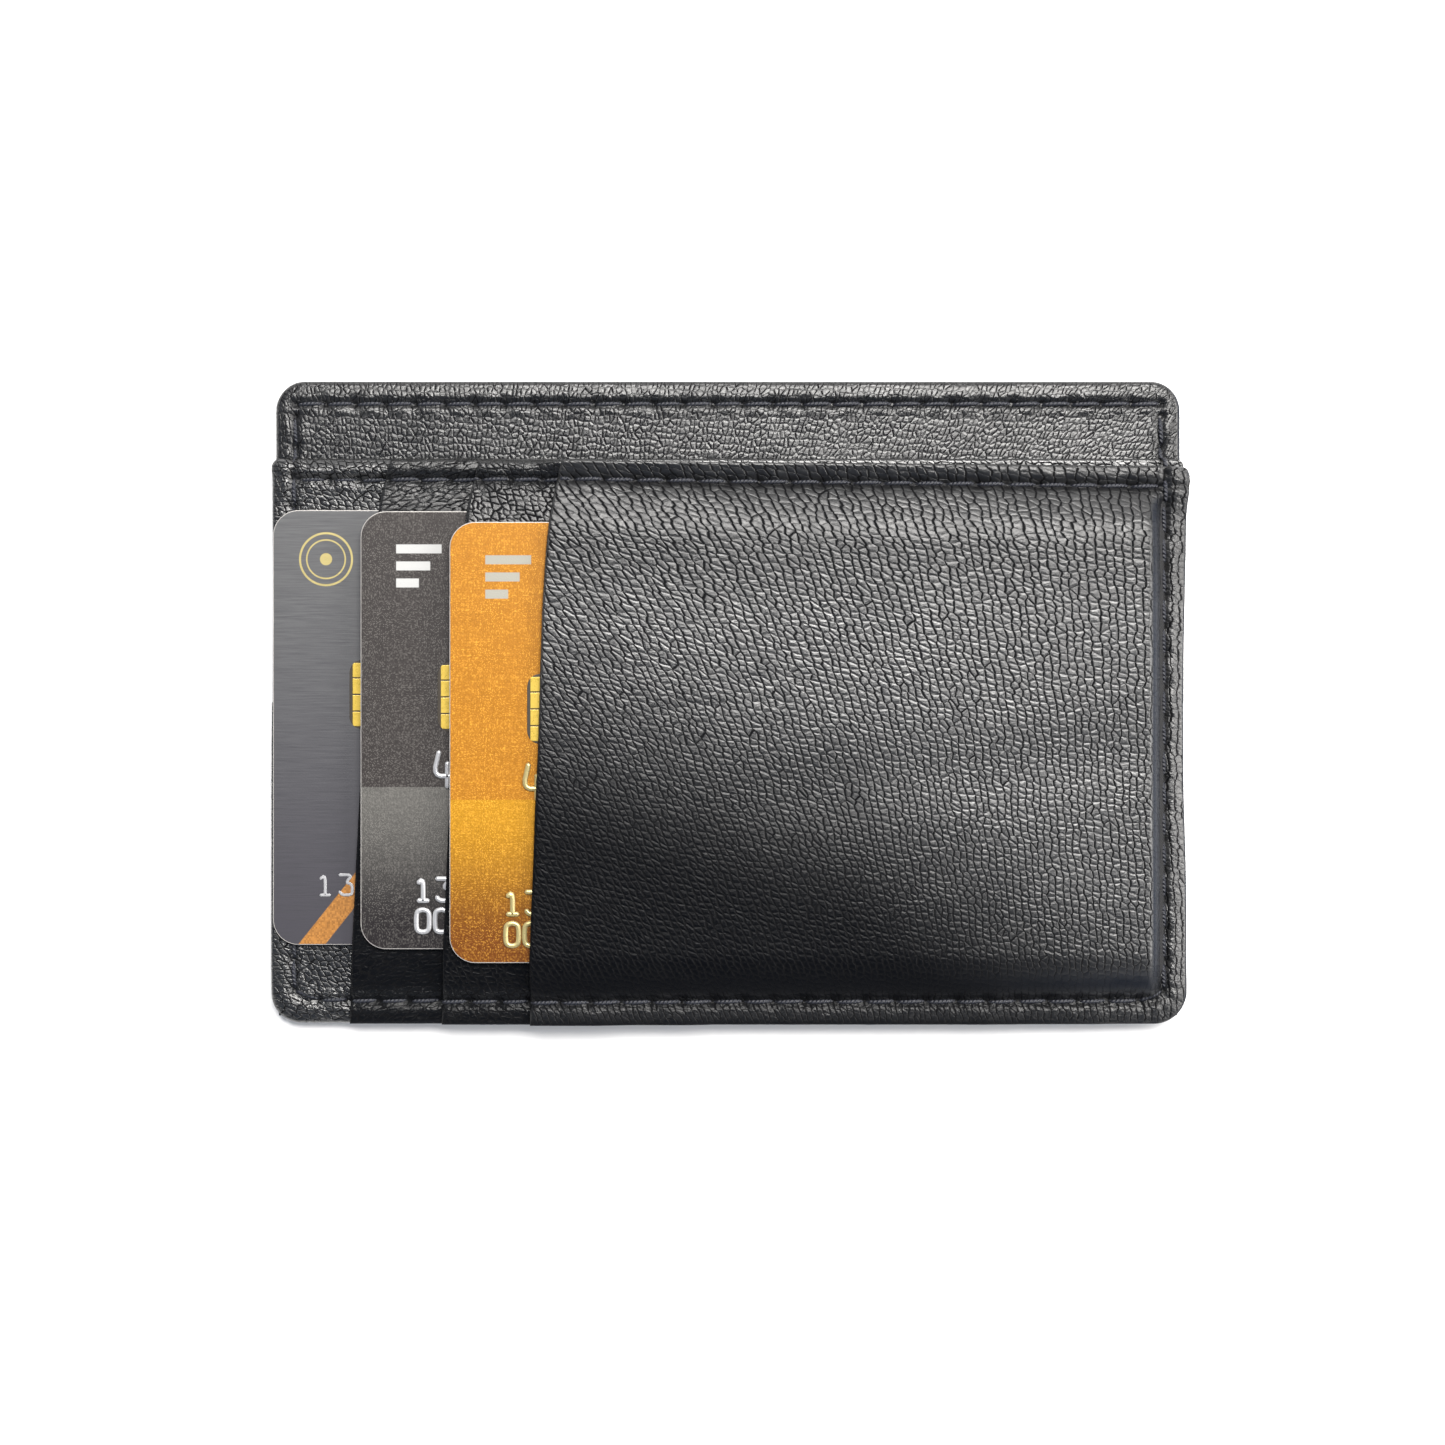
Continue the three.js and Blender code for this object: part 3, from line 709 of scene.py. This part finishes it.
class Paint:  # one material's node tree
    def __init__(self, name):
        self.material = bpy.data.materials.new(name)
        self.material.use_nodes = True
        self.tree = self.material.node_tree
        self.tree.nodes.clear()
        self.where = None

    def node(self, kind, settings=None, **inputs):
        made = self.tree.nodes.new(kind)
        for key, value in (settings or {}).items():
            setattr(made, key, value)
        for key, value in inputs.items():
            self.give(made.inputs[key.replace("_", " ")], value)
        return made

    def give(self, socket, value):
        if isinstance(value, Value):
            self.tree.links.new(value.socket, socket)
        elif isinstance(value, bpy.types.NodeSocket):
            self.tree.links.new(value, socket)
        else:
            socket.default_value = value

    def math(self, operation, *values):
        made = self.tree.nodes.new("ShaderNodeMath")
        made.operation = operation
        for socket, value in zip(made.inputs, values):
            self.give(socket, value)
        return Value(self, made.outputs[0])

    def between(self, value, low, high, toLow=0.0, toHigh=1.0):  # smooth step from low to high
        made = self.node("ShaderNodeMapRange", dict(interpolation_type="SMOOTHSTEP"))
        keys = ("Value", "From Min", "From Max", "To Min", "To Max")
        for key, given in zip(keys, (value, low, high, toLow, toHigh)):
            self.give(made.inputs[key], given)
        return Value(self, made.outputs[0])

    def mix(self, factor, a, b):  # two colours
        made = self.node("ShaderNodeMix", dict(data_type="RGBA"))
        for socket, given in zip((made.inputs[0], made.inputs[6], made.inputs[7]), (factor, a, b)):
            self.give(socket, given)
        return made.outputs[2]

    def place(self):  # the piece's own coordinates in millimetres
        if self.where is None:
            coords = self.node("ShaderNodeTexCoord")
            scaled = self.node("ShaderNodeVectorMath", dict(operation="SCALE"), Scale=1000.0)
            self.tree.links.new(coords.outputs["Object"], scaled.inputs[0])
            split = self.node("ShaderNodeSeparateXYZ")
            self.tree.links.new(scaled.outputs[0], split.inputs[0])
            self.where = [Value(self, split.outputs[i]) for i in range(3)]
        return self.where

    def vector(self, x, y, z=0.0):
        made = self.node("ShaderNodeCombineXYZ")
        for socket, value in zip(made.inputs, (x, y, z)):
            self.give(socket, value)
        return made.outputs[0]

    def noise(self, x, y, z=0.0, scale=1.0, detail=2.0, rough=0.5):
        made = self.node("ShaderNodeTexNoise", Scale=scale, Detail=detail, Roughness=rough)
        self.give(made.inputs["Vector"], self.vector(x, y, z))
        return Value(self, made.outputs["Fac"])

    def random(self, x, y=0.0, z=0.0):
        made = self.node("ShaderNodeTexWhiteNoise")
        self.give(made.inputs["Vector"], self.vector(x, y, z))
        return Value(self, made.outputs["Value"])

    def attribute(self, name):
        made = self.node("ShaderNodeAttribute", dict(attribute_name=name))
        return Value(self, made.outputs["Fac"])

    def bump(self, height):  # height in millimetres
        made = self.node("ShaderNodeBump", Strength=1.0, Distance=mm)
        self.give(made.inputs["Height"], height)
        return made.outputs["Normal"]

    def cells(self, u, v, scatter, which):  # scattered cells: X and Y of the point, a random number
        made = self.node(
            "ShaderNodeTexVoronoi", dict(voronoi_dimensions="2D", feature=which), Scale=1.0, Randomness=scatter
        )
        self.give(made.inputs["Vector"], self.vector(u, v))
        split = self.node("ShaderNodeSeparateXYZ", Vector=made.outputs["Position"])
        x, y = Value(self, split.outputs[0]), Value(self, split.outputs[1])
        return x, y, self.random(x, y)

    def shader(self, **inputs):
        return self.node("ShaderNodeBsdfPrincipled", **inputs).outputs[0]

    def blend(self, factor, a, b):  # two surfaces
        made = self.tree.nodes.new("ShaderNodeMixShader")
        for socket, given in zip(made.inputs, (factor, a, b)):
            self.give(socket, given)
        return made.outputs[0]

    def out(self, shader):
        self.node("ShaderNodeOutputMaterial", Surface=shader)
        return self.material

    def finish(self, **inputs):
        return self.out(self.shader(**inputs))


plainGrain = dict(
    cell=(1.0, 1.0),  # width and height of a cell
    scatter=0.62,
    lean=0.0,  # lean of the columns of cells where X is middle; they keep their place where Y is level
    turn=0.0,  # change of the lean per millimetre to the right
    middle=0.0,
    level=0.0,
    climb=0.05,  # fall of the rows per millimetre to the right
    crack=0.10,  # half width of a crack
    across=0.45,  # strength of the cracks between two rows
    steady=0.25,  # what is left of a crack in its weak stretches
    faint=0.60,  # darkness of the weakest crack
    depth=0.036,  # height of a cell's dome, in millimetres
    tilt=0.026,  # how askew a cell lies
    fold=0.040,  # height of its small folds
    relief=(0.80, 0.80),  # share of these heights at the lower and at the upper end
    dullest=0.0,  # how strongly shade is painted at the lower end next to the cards
    topDull=0.0,  # and next to the front's top seam
    shine=0.80,
    rough=0.29,
    tone=(0.0065, 0.0067, 0.0073),
    seed=0.0,
)
skinTones = dict(
    crack=(0.0015, 0.0016, 0.0022, 1),
    slopeShade=(0.0045, 0.0080, 0.0170, 1),  # painted shade: the bluish black of steep slopes turned away from the lamps, reflecting the bluish room
    # painted shade: the near-black of the leather where the light falls off
    matt=(0.0012, 0.0015, 0.0024, 1),
)


# Grained leather. The skin is split into cells round scattered points. A crack runs where two
# neighbouring points are equally near: its distance is (far2 - near2) / (2 * the points' spacing).
# Cracks between side-by-side cells are the strong ones.
def leatherPaint(name, look):
    g = SimpleNamespace(**{**plainGrain, **look})
    wide, tall = g.cell
    p = Paint(name)
    x, y, z = p.place()
    stretchAndShade, crumple, edge, pit = (p.attribute(key) for key in ("stretchAndShade", "crumple", "edge", "pit"))
    slow = p.noise(x, y, g.seed, scale=0.03, detail=1.0) - 0.5
    mid = p.noise(x, y, g.seed + 7.0, scale=0.30, detail=1.0) - 0.5
    other = p.noise(x, y, g.seed + 9.0, scale=0.33, detail=1.0) - 0.5
    leaning = g.lean + (x - g.middle) * g.turn + slow * 0.15
    u = (x + (y - g.level) * leaning + mid * 0.9) / wide
    v = (y + other * 0.8 + x * g.climb) / tall + g.seed
    nearX, nearY, pick = p.cells(u, v, g.scatter, "F1")
    farX, farY, pick2 = p.cells(u, v, g.scatter, "F2")
    apartX, apartY = (farX - nearX) * wide, (farY - nearY) * tall
    spacing = (apartX * apartX + apartY * apartY).root() + 0.001
    toward = apartX * (farX + nearX - u * 2.0) * (0.5 * wide)
    toward = (toward + apartY * (farY + nearY - v * 2.0) * (0.5 * tall)) / spacing
    sideways = abs(apartX) / spacing
    patchy = p.noise(x, y, g.seed + 31.0, scale=0.7, detail=2.0)
    strength = p.between(sideways, 0.35, 0.85, g.across, 1.0) * p.between(patchy, 0.28, 0.56, g.steady, 1.0)
    strength = strength * (1.0 - stretchAndShade * 0.9) * (1.0 - edge)
    width = strength * g.crack
    split = 1.0 - p.between(toward, width * 0.35, width * 1.15 + 0.01)
    dome = p.between(toward, 0.0, 0.30)
    # each cell lies a little askew and has its own small folds
    fall = (u - nearX) * (pick - 0.5) + (v - nearY) * (pick2 - 0.5)
    folds = p.noise(x * 1.2, y * 4.5, g.seed + 41.0, scale=1.0, detail=3.0, rough=0.65) - 0.5
    fine = p.noise(x, y, g.seed + 43.0, scale=4.5, detail=2.0, rough=0.6) - 0.5
    streak = p.noise(x * 3.2, y * 0.45, g.seed + 47.0, scale=1.4, detail=3.0, rough=0.6) - 0.5
    crush = p.noise(x, y, g.seed + 53.0, scale=1.25, detail=3.0, rough=0.6) - 0.5
    plain = (1.0 - stretchAndShade * 0.85) * (1.0 - edge * 0.9)
    plain = plain * p.between(y + (x - 10.0) * 0.25, -24.0, 12.0, *g.relief)
    height = (
        (dome * g.depth + fall * g.tilt) * plain
        + folds * g.fold * plain * (1.0 - stretchAndShade * 0.6)
        + fine * 0.026 * plain
        - split * g.depth
        + streak * 0.06 * stretchAndShade
        + crush * 0.30 * crumple * (1.0 - edge * 0.9)
    )
    dull = p.noise(x, y, g.seed + 61.0, scale=0.09, detail=2.0)
    dark, pale = (tuple(v * share for v in g.tone) + (1.0,) for share in (0.5, 1.25))
    grain = p.shader(
        Base_Color=p.mix(pick * 0.5 + dull * 0.5, dark, pale),
        Roughness=g.rough + (pick2 - 0.5) * 0.12 + (dull - 0.5) * 0.16 - edge * 0.03,
        Specular_IOR_Level=g.shine,
        Normal=p.bump(height),
    )
    # painted shade: a bluish black copy of the leather, mixed in on the steep slopes turned away from the
    # lamps
    slopeShade = p.shader(
        Base_Color=skinTones["slopeShade"],
        Roughness=0.50 + streak * 0.3,
        Specular_IOR_Level=0.07,
        Normal=p.bump(height),
    )
    skin = p.blend((stretchAndShade * 1.1).least(0.96), grain, slopeShade)
    if g.dullest + g.topDull > 0:  # painted shade: a darker, less glossy copy of the leather mixed in towards the lower corner next to the cards and below the front's top seam, where the light falls off
        matt = p.shader(
            Base_Color=skinTones["matt"], Roughness=0.36, Specular_IOR_Level=0.02, Normal=p.bump(height)
        )
        further = (x - 15.0).most(0.0) * 0.40
        paintedShade = p.between(0.0 - (x + 17.0) * 0.30 - further - y, -14.0, 20.0, 0.0, g.dullest)
        paintedShade = (paintedShade + p.between(y, 9.0, 19.0, 0.0, g.topDull)) * (1.0 - crumple * 0.35)
        skin = p.blend(paintedShade, skin, matt)
    # painted shade: a near-black colour in the cracks, the seam grooves and the stitch holes stands in for the
    # shade in these recesses; their low gloss is their own
    bottom = p.shader(Base_Color=skinTones["crack"], Roughness=0.8, Specular_IOR_Level=0.12)
    seen = split * p.between(strength, 0.15, 0.7, g.faint, 1.0) * (1.0 - stretchAndShade * 0.95)
    return p.out(p.blend(seen.most(pit * 0.9), skin, bottom))


def threadPaint(name, tone=(0.022, 0.024, 0.034)):
    p = Paint(name)
    ply = p.attribute("ply")
    x, y, z = p.place()
    strands = (ply * 2 * math.pi / 0.55).sine()
    fuzz = p.noise(x, y, z, scale=9.0, detail=3.0) - 0.5
    return p.finish(
        Base_Color=p.mix(strands * 0.5 + 0.5, tuple(v * 0.5 for v in tone) + (1,), tone + (1,)),
        Roughness=0.5 + fuzz * 0.2,
        Specular_IOR_Level=0.5,
        Normal=p.bump(strands * 0.05 + fuzz * 0.03),
    )


def clothPaint(name, tone=(0.012, 0.012, 0.014)):
    p = Paint(name)
    x, y, z = p.place()
    warp, weft = (x * 18.0).sine(), (y * 18.0).sine()
    weave = warp * weft
    return p.finish(
        Base_Color=p.mix(weave * 0.5 + 0.5, tuple(v * 0.4 for v in tone) + (1,), tone + (1,)),
        Roughness=0.75 + weave * 0.1,
        Normal=p.bump(weave * 0.03),
    )


def boardPaint(name):
    p = Paint(name)
    x, y, z = p.place()
    fibre = p.noise(x, y * 3.0, z, scale=1.5, detail=4.0) - 0.5
    return p.finish(
        Base_Color=p.mix(fibre + 0.5, (0.24, 0.18, 0.12, 1), (0.42, 0.33, 0.23, 1)),
        Roughness=0.85 + fibre * 0.2,
        Normal=p.bump(fibre * 0.05),
    )


def within(p, value, low, high, soft=0.05):  # 1 between low and high, softly
    return p.between(value, low - soft, low + soft) * (1.0 - p.between(value, high - soft, high + soft))


# the card's pale core, which on the top bevel also serves as a painted highlight along the edge
rimCoreAndHighlight = (0.42, 0.40, 0.38, 1)


def onFace(p, z, k):  # 1 on the printed face, 0 on the rim, whose pale colour is the card's core and, on the top bevel, a painted highlight
    return p.between(z, cardBoxes[k][1][2] - 0.025, cardBoxes[k][1][2] - 0.004)


def greyCardPaint(name, k):
    p = Paint(name)
    low, high = cardBoxes[k]
    x, y, z = p.place()
    brush = p.noise(x * 0.12, y * 3.4, z, scale=1.6, detail=4.0, rough=0.7) - 0.5
    # painted shade: the print darkens towards the lower edge, standing in for the light falling off there
    fall = p.between(y, low[1], high[1] - 4)
    ground = p.mix(fall, (0.040, 0.036, 0.047, 1), (0.100, 0.102, 0.102, 1))
    ground = p.mix((brush * 1.6 + 0.5), (0.046, 0.045, 0.050, 1), ground)
    # ring print: two thin circles about one centre
    cx, cy = low[0] + 6.6, high[1] - 6.1
    away = ((x - cx) * (x - cx) + (y - cy) * (y - cy)).root()
    rings = within(p, away, 3.1, 3.35).most(within(p, away, 2.3, 2.48)).most(within(p, away, 0.0, 0.75, 0.06))
    # slanting stripe near the lower corner
    slope = (x - (low[0] + 4.0)) * 0.78 - (y - (low[1] + 0.8)) * 0.62
    stripe = within(p, slope, -0.2, 2.4, 0.06) * (1.0 - p.between(y, low[1] + 9.6, low[1] + 9.7))
    face = p.mix(rings, ground, (0.42, 0.35, 0.15, 1))
    speck = p.random((x * 5.0).floor(), (y * 5.0).floor())
    orange = p.mix(speck, (0.24, 0.10, 0.018, 1), (0.42, 0.18, 0.036, 1))
    face = p.mix(stripe, face, orange)
    face = p.mix(onFace(p, z, k), rimCoreAndHighlight, face)
    return p.finish(
        Base_Color=face,
        Metallic=rings * 0.8 + 0.15,
        Roughness=0.42 + brush * 0.35,
        Coat_Weight=0.25,
        Coat_Roughness=0.25,
        Normal=p.bump(brush * 0.012),
    )


def flakeCardPaint(name, k, dark, light, foot, mark, glint, flake=0.45, metal=0.15):
    p = Paint(name)
    low, high = cardBoxes[k]
    x, y, z = p.place()
    speck = p.random((x * 8.0).floor(), (y * 8.0).floor()) * 0.6
    speck = speck + p.noise(x, y, z, scale=6.0, detail=2.0) * 0.4
    lineAt = high[1] - cards["toneLine"]
    below = 1.0 - p.between(y, lineAt - 0.06, lineAt + 0.06)
    fade = p.between(y, low[1] + 2.0, lineAt)
    lower = p.mix(fade, foot + (1,), light + (1,))
    ground = p.mix(below, dark + (1,), lower)
    hatch = p.noise(x * 0.2, y * 5.0, z, scale=1.2, detail=3.0) - 0.5
    hatch = hatch + (p.noise(x * 5.0, y * 0.2, z, scale=1.2, detail=3.0) - 0.5)
    sparkle = ((speck - 0.5) * flake * 2.0 + hatch * 0.5 + 0.5).least(1.0).most(0.0)
    ground = p.mix(sparkle, p.mix(0.42, ground, (0, 0, 0, 1)), ground)
    ground = p.mix(p.between(sparkle, 0.55, 0.95) * 0.45, ground, glint + (1,))
    # three short bars, one over the other, as a plain print
    bars = None
    for n, length in enumerate((5.6, 4.2, 2.8)):
        ya = high[1] - 5.2 - 2.1 * n
        bar = within(p, y, ya, ya + 1.1) * within(p, x, low[0] + 4.4, low[0] + 4.4 + length)
        bars = bar if bars is None else bars.most(bar)
    face = p.mix(bars, ground, mark + (1,))
    face = p.mix(onFace(p, z, k), rimCoreAndHighlight, face)
    return p.finish(
        Base_Color=face,
        Metallic=(1.0 - bars) * metal,
        Roughness=0.42 + (speck - 0.5) * 0.25,
        Specular_IOR_Level=0.3,
        Coat_Weight=0.06,
        Coat_Roughness=0.25,
        Normal=p.bump(speck * 0.015),
    )


def chipPaint(name, k):
    p = Paint(name)
    low, high = cardBoxes[k]
    x, y, z = p.place()
    left, top = low[0] + cards["chipFromEnd"], high[1] - cards["chipFromTop"]
    u = (x - left) / cards["chipLength"]
    v = (top - y) / cards["chipHeight"]
    line = lambda value, at, width: within(p, value, at - width, at + width, 0.006)
    side = 1.0 - within(p, u, 0.31, 0.69, 0.004)
    grooves = (line(u, 0.31, 0.008) + line(u, 0.69, 0.008)) * within(p, v, 0.12, 0.88)
    for at in (0.26, 0.5, 0.74):
        grooves = grooves.most(line(v, at, 0.011) * side)
    grooves = grooves.most(line(v, 0.12, 0.011) * (1.0 - side)).most(line(v, 0.88, 0.011) * (1.0 - side))
    rimLine = 1.0 - within(p, u, 0.035, 0.965, 0.004) * within(p, v, 0.045, 0.955, 0.005)
    marks = grooves.most(rimLine).least(1.0)
    wear = p.noise(x, y, z, scale=2.0, detail=3.0) - 0.5
    return p.finish(
        Base_Color=p.mix(marks, (0.66, 0.46, 0.075, 1), (0.03, 0.022, 0.012, 1)),
        Metallic=0.35 - marks * 0.3,
        Roughness=0.30 + wear * 0.25 + marks * 0.2,
        Normal=p.bump(wear * 0.01 - marks * 0.03),
    )


# foil on the tops of the digits, worn to the ground colour at the foot
def tippedPaint(name, k, metalTone, ground, raised):
    p = Paint(name)
    x, y, z = p.place()
    worn = p.noise(x, y, z, scale=5.0, detail=3.0)
    top = cardBoxes[k][1][2]
    tip = p.between(z, top + raised * 0.25, top + raised * 0.55) * p.between(worn, 0.22, 0.38)
    return p.finish(
        Base_Color=p.mix(tip, ground + (1,), metalTone + (1,)),
        Metallic=tip * 0.55,
        Roughness=0.30 + (1.0 - tip) * 0.2,
        Normal=p.bump(worn * 0.01),
    )


def stripePaint(name):
    p = Paint(name)
    x, y, z = p.place()
    brush = p.noise(x * 0.1, y * 4.0, z, scale=2.0, detail=3.0) - 0.5
    film = p.mix(brush + 0.5, (0.006, 0.006, 0.008, 1), (0.016, 0.015, 0.016, 1))
    return p.finish(Base_Color=film, Roughness=0.45 + brush * 0.2)


def signaturePaint(name):
    p = Paint(name)
    x, y, z = p.place()
    hatch = ((x + y) * 4.0).sine()
    film = p.mix(hatch * 0.5 + 0.5, (0.78, 0.77, 0.74, 1), (0.66, 0.68, 0.72, 1))
    return p.finish(Base_Color=film, Roughness=0.8 + hatch * 0.05)


def dress(obj, material):
    obj.data.materials.clear()
    obj.data.materials.append(material)


print("leather")
looks = dict(
    back=dict(cell=(1.0, 1.1), seed=3.0),
    facing=dict(
        cell=(0.58, 0.90), lean=-0.25, turn=-0.0065, level=34.0,
        crack=0.09, across=0.30, depth=0.034, shine=0.68, seed=11.0,
    ),
    base=dict(cell=(0.95, 0.6), lean=0.45, level=26.0, across=0.8, shine=1.05, seed=23.0),
    pocket_1=dict(
        cell=(1.7, 0.62), lean=-1.3, level=26.0, crack=0.09, across=0.5, shine=0.50, dullest=0.72, seed=31.0,
    ),
    pocket_2=dict(
        cell=(0.95, 0.62), lean=0.4, level=26.0, crack=0.12, across=0.9, shine=0.52, dullest=0.80, seed=37.0,
    ),
    front=dict(
        cell=(1.06, 0.78), scatter=0.52, lean=0.36, turn=-0.0080, middle=10.0, level=8.0, climb=0.20,
        crack=0.150, across=0.18, steady=0.60, faint=0.35, depth=0.044, tilt=0.032, fold=0.055,
        relief=(0.85, 0.78), dullest=0.93, topDull=0.30, shine=1.0, rough=0.35, tone=(0.012, 0.012, 0.0125),
        seed=47.0,
    ),
)
panels = dict(
    back=(makeBackPanel(), "back_panel"),
    facing=(makeBackFacing(), "back_facing"),
    base=(makeBasePanel(), "base_panel"),
    pocket_1=(makeStrip(0), "pocket_1_panel"),
    pocket_2=(makeStrip(1), "pocket_2_panel"),
    front=(makeFrontPanel(), "front_panel"),
)
for key, (panel, node) in panels.items():
    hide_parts(node)
    dress(panel, leatherPaint(f"leather_{key}", looks[key]))

print("linings")
cloth = clothPaint("lining_cloth")
linings = dict(
    note_pocket_lining=makeNoteLining(),
    pocket_1_lining=makePocketLining(0, "pocket_1_lining", False),
    pocket_2_lining=makePocketLining(1, "pocket_2_lining", False),
    front_lining=makePocketLining(2, "front_lining", True),
)
for node, lining in linings.items():
    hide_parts(node)
    dress(lining, cloth)

print("stitches")
black = threadPaint("black_thread_twist")
flatBack = lambda x, y: 0.30 + 0 * x
bobbin = dict(thread=0.2, sink=0.3, rise=-0.02, slant=0.06, side=-1)
rows = dict(
    side_seam_needle_thread=stitchRow("side_seam_stitches", sideHoles, frontSurface),
    top_edge_needle_thread=stitchRow("top_edge_stitches", topHoles, lambda x, y: backTop - 0.16 + 0 * x),
    front_edge_thread=stitchRow("front_edge_stitches", frontHoles, frontSurface),
    side_seam_bobbin_thread=stitchRow("side_seam_back_stitches", sideHoles, flatBack, **bobbin),
    top_edge_bobbin_thread=stitchRow("top_edge_back_stitches", topHoles, flatBack, **bobbin),
)
for k in range(2):
    node = f"pocket_{k + 1}_stop_stitching"
    low, high = nodeBox(node)
    xStop = (low[0] + high[0]) / 2
    holes = spacedPoints([(xStop, low[1]), (xStop, high[1])], holder["pitch"])
    onBase = lambda x, y, z=low[2]: z + 0.05 + 0 * x
    rows[node] = stitchRow(f"pocket_{k + 1}_stop_stitches", holes, onBase, thread=0.2, sink=0.2)
for node, row in rows.items():
    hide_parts(node)
    dress(row, black)

print("cards")
silver, paleGold, printGrey = (0.55, 0.55, 0.56), (0.52, 0.44, 0.20), (0.30, 0.30, 0.31)
bronze = dict(
    dark=(0.040, 0.034, 0.032), light=(0.125, 0.120, 0.110), foot=(0.016, 0.013, 0.014),
    mark=(0.42, 0.42, 0.41), glint=(0.15, 0.142, 0.13), flake=0.6,
)
gold = dict(
    dark=(0.42, 0.165, 0.006), light=(0.50, 0.235, 0.006), foot=(0.16, 0.045, 0.001),
    mark=(0.28, 0.27, 0.23), glint=(0.80, 0.42, 0.05), flake=0.45,
)
finishes = [  # slot, print, colour of a digit's top and of its foot
    ("grey_card", greyCardPaint("grey_card_print", 0), printGrey, printGrey),
    ("bronze_card", flakeCardPaint("bronze_card_print", 1, **bronze), silver, (0.012, 0.010, 0.011)),
    ("gold_card", flakeCardPaint("gold_card_print", 2, **gold), paleGold, (0.16, 0.06, 0.01)),
]
for k, (slot, print_, tip, ground) in enumerate(finishes):
    card, chip = makeCard(k)
    dress(card, print_)
    dress(chip, chipPaint(f"chip_{k + 1}_plating", k))
    low, high = cardBoxes[k]
    embossed = k > 0
    foil = tippedPaint(f"card_{k + 1}_tipping", k, tip, ground, cards["raised"] if embossed else 0.0)
    line, rise = (cards["stroke"], cards["raised"]) if embossed else (cards["flatStroke"], cards["flatRaised"])
    for part, words, dx, dy, size, pitch in cards["embossed" if embossed else "flat"]:
        name, x, y = f"card_{k + 1}_{part}", low[0] + dx, low[1] + dy
        dress(digitRow(name, words, x, y, high[2], size, pitch, line, rise, f"card_{k + 1}"), foil)

print("carried-over pieces")
stripeLook, signatureLook = stripePaint("magnetic_stripe_film"), signaturePaint("signature_film_print")
for k in range(3):
    dress(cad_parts[f"card_{k + 1}_magnetic_stripe"], stripeLook)
    dress(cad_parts[f"card_{k + 1}_signature_panel"], signatureLook)
dress(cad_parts["back_board"], boardPaint("fibre_board_grain"))

print("stage")
stage = dict(
    reach=2.5,  # half width of the floor, in metres
    drop=-0.0001,
    floor=(0.86, 0.86, 0.86, 1),
    glowFrom=300.0,  # far out, in millimetres, the floor glows, so that it has no edge against the horizon
    glowTo=1100.0,
    glow=(0.9, 0.9, 0.9, 1),
    horizon=(1.0, 1.0, 1.0, 1),
    overhead=(0.17, 0.20, 0.26, 1),
    skyFrom=0.26,  # heights of the direction between which the horizon's colour gives way
    skyTo=0.46,
    lens=47.9,
    eye=(-0.00069, -0.00263, 0.2418),
)
lamps = dict(
    top_light=dict(place=(0.12, 0.43, 0.80), size=(0.70, 0.44), watts=17.0, tint=(1.0, 0.975, 0.94)),
    window=dict(place=(0.0, 0.90, 0.42), size=(1.4, 0.5), watts=2.0, tint=(1.0, 0.97, 0.93)),
    end_window=dict(place=(0.80, 0.05, 0.42), size=(1.0, 0.4), watts=10.0, tint=(1.0, 0.97, 0.93)),
)
scene = bpy.context.scene
reach = stage["reach"]
floorMesh = bpy.data.meshes.new("floor")
square = [(a * reach, b * reach, stage["drop"]) for a, b in ((-1, -1), (1, -1), (1, 1), (-1, 1))]
floorMesh.from_pydata(square, [], [(0, 1, 2, 3)])
floor = bpy.data.objects.new("floor", floorMesh)
scene.collection.objects.link(floor)
pf = Paint("pale_floor")
fx, fy, fz = pf.place()
away = pf.between((fx * fx + fy * fy).root(), stage["glowFrom"], stage["glowTo"])
glow = pf.mix(away, (0, 0, 0, 1), stage["glow"])
look = dict(Base_Color=stage["floor"], Roughness=0.9, Specular_IOR_Level=0.1)
floorMesh.materials.append(pf.finish(**look, Emission_Color=glow, Emission_Strength=1.0))

world = bpy.data.worlds.new("room")
scene.world = world
world.use_nodes = True
sky = world.node_tree
direction = sky.nodes.new("ShaderNodeTexCoord")
upward = sky.nodes.new("ShaderNodeSeparateXYZ")
level = sky.nodes.new("ShaderNodeMapRange")
tint = sky.nodes.new("ShaderNodeMix")
tint.data_type = "RGBA"
level.inputs["From Min"].default_value = stage["skyFrom"]
level.inputs["From Max"].default_value = stage["skyTo"]
tint.inputs[6].default_value = stage["horizon"]
tint.inputs[7].default_value = stage["overhead"]
sky.links.new(direction.outputs["Generated"], upward.inputs[0])
sky.links.new(upward.outputs[2], level.inputs["Value"])
sky.links.new(level.outputs[0], tint.inputs[0])
sky.links.new(tint.outputs[2], sky.nodes["Background"].inputs[0])

for name, lamp in lamps.items():  # soft boxes that face the holder
    light = bpy.data.lights.new(name, "AREA")
    light.shape = "RECTANGLE"
    light.size, light.size_y = lamp["size"]
    light.energy = lamp["watts"]
    light.color = lamp["tint"]
    obj = bpy.data.objects.new(name, light)
    obj.location = lamp["place"]
    obj.rotation_mode = "QUATERNION"
    obj.rotation_quaternion = (-obj.location).to_track_quat("-Z", "Y")
    scene.collection.objects.link(obj)

camera = bpy.data.cameras.new("camera")
camera.sensor_width = 36
camera.lens = stage["lens"]
camera.clip_start = 0.01
camera.clip_end = 10
eye = bpy.data.objects.new("camera", camera)
eye.location = stage["eye"]
scene.collection.objects.link(eye)
scene.camera = eye
scene.view_settings.view_transform = "Standard"
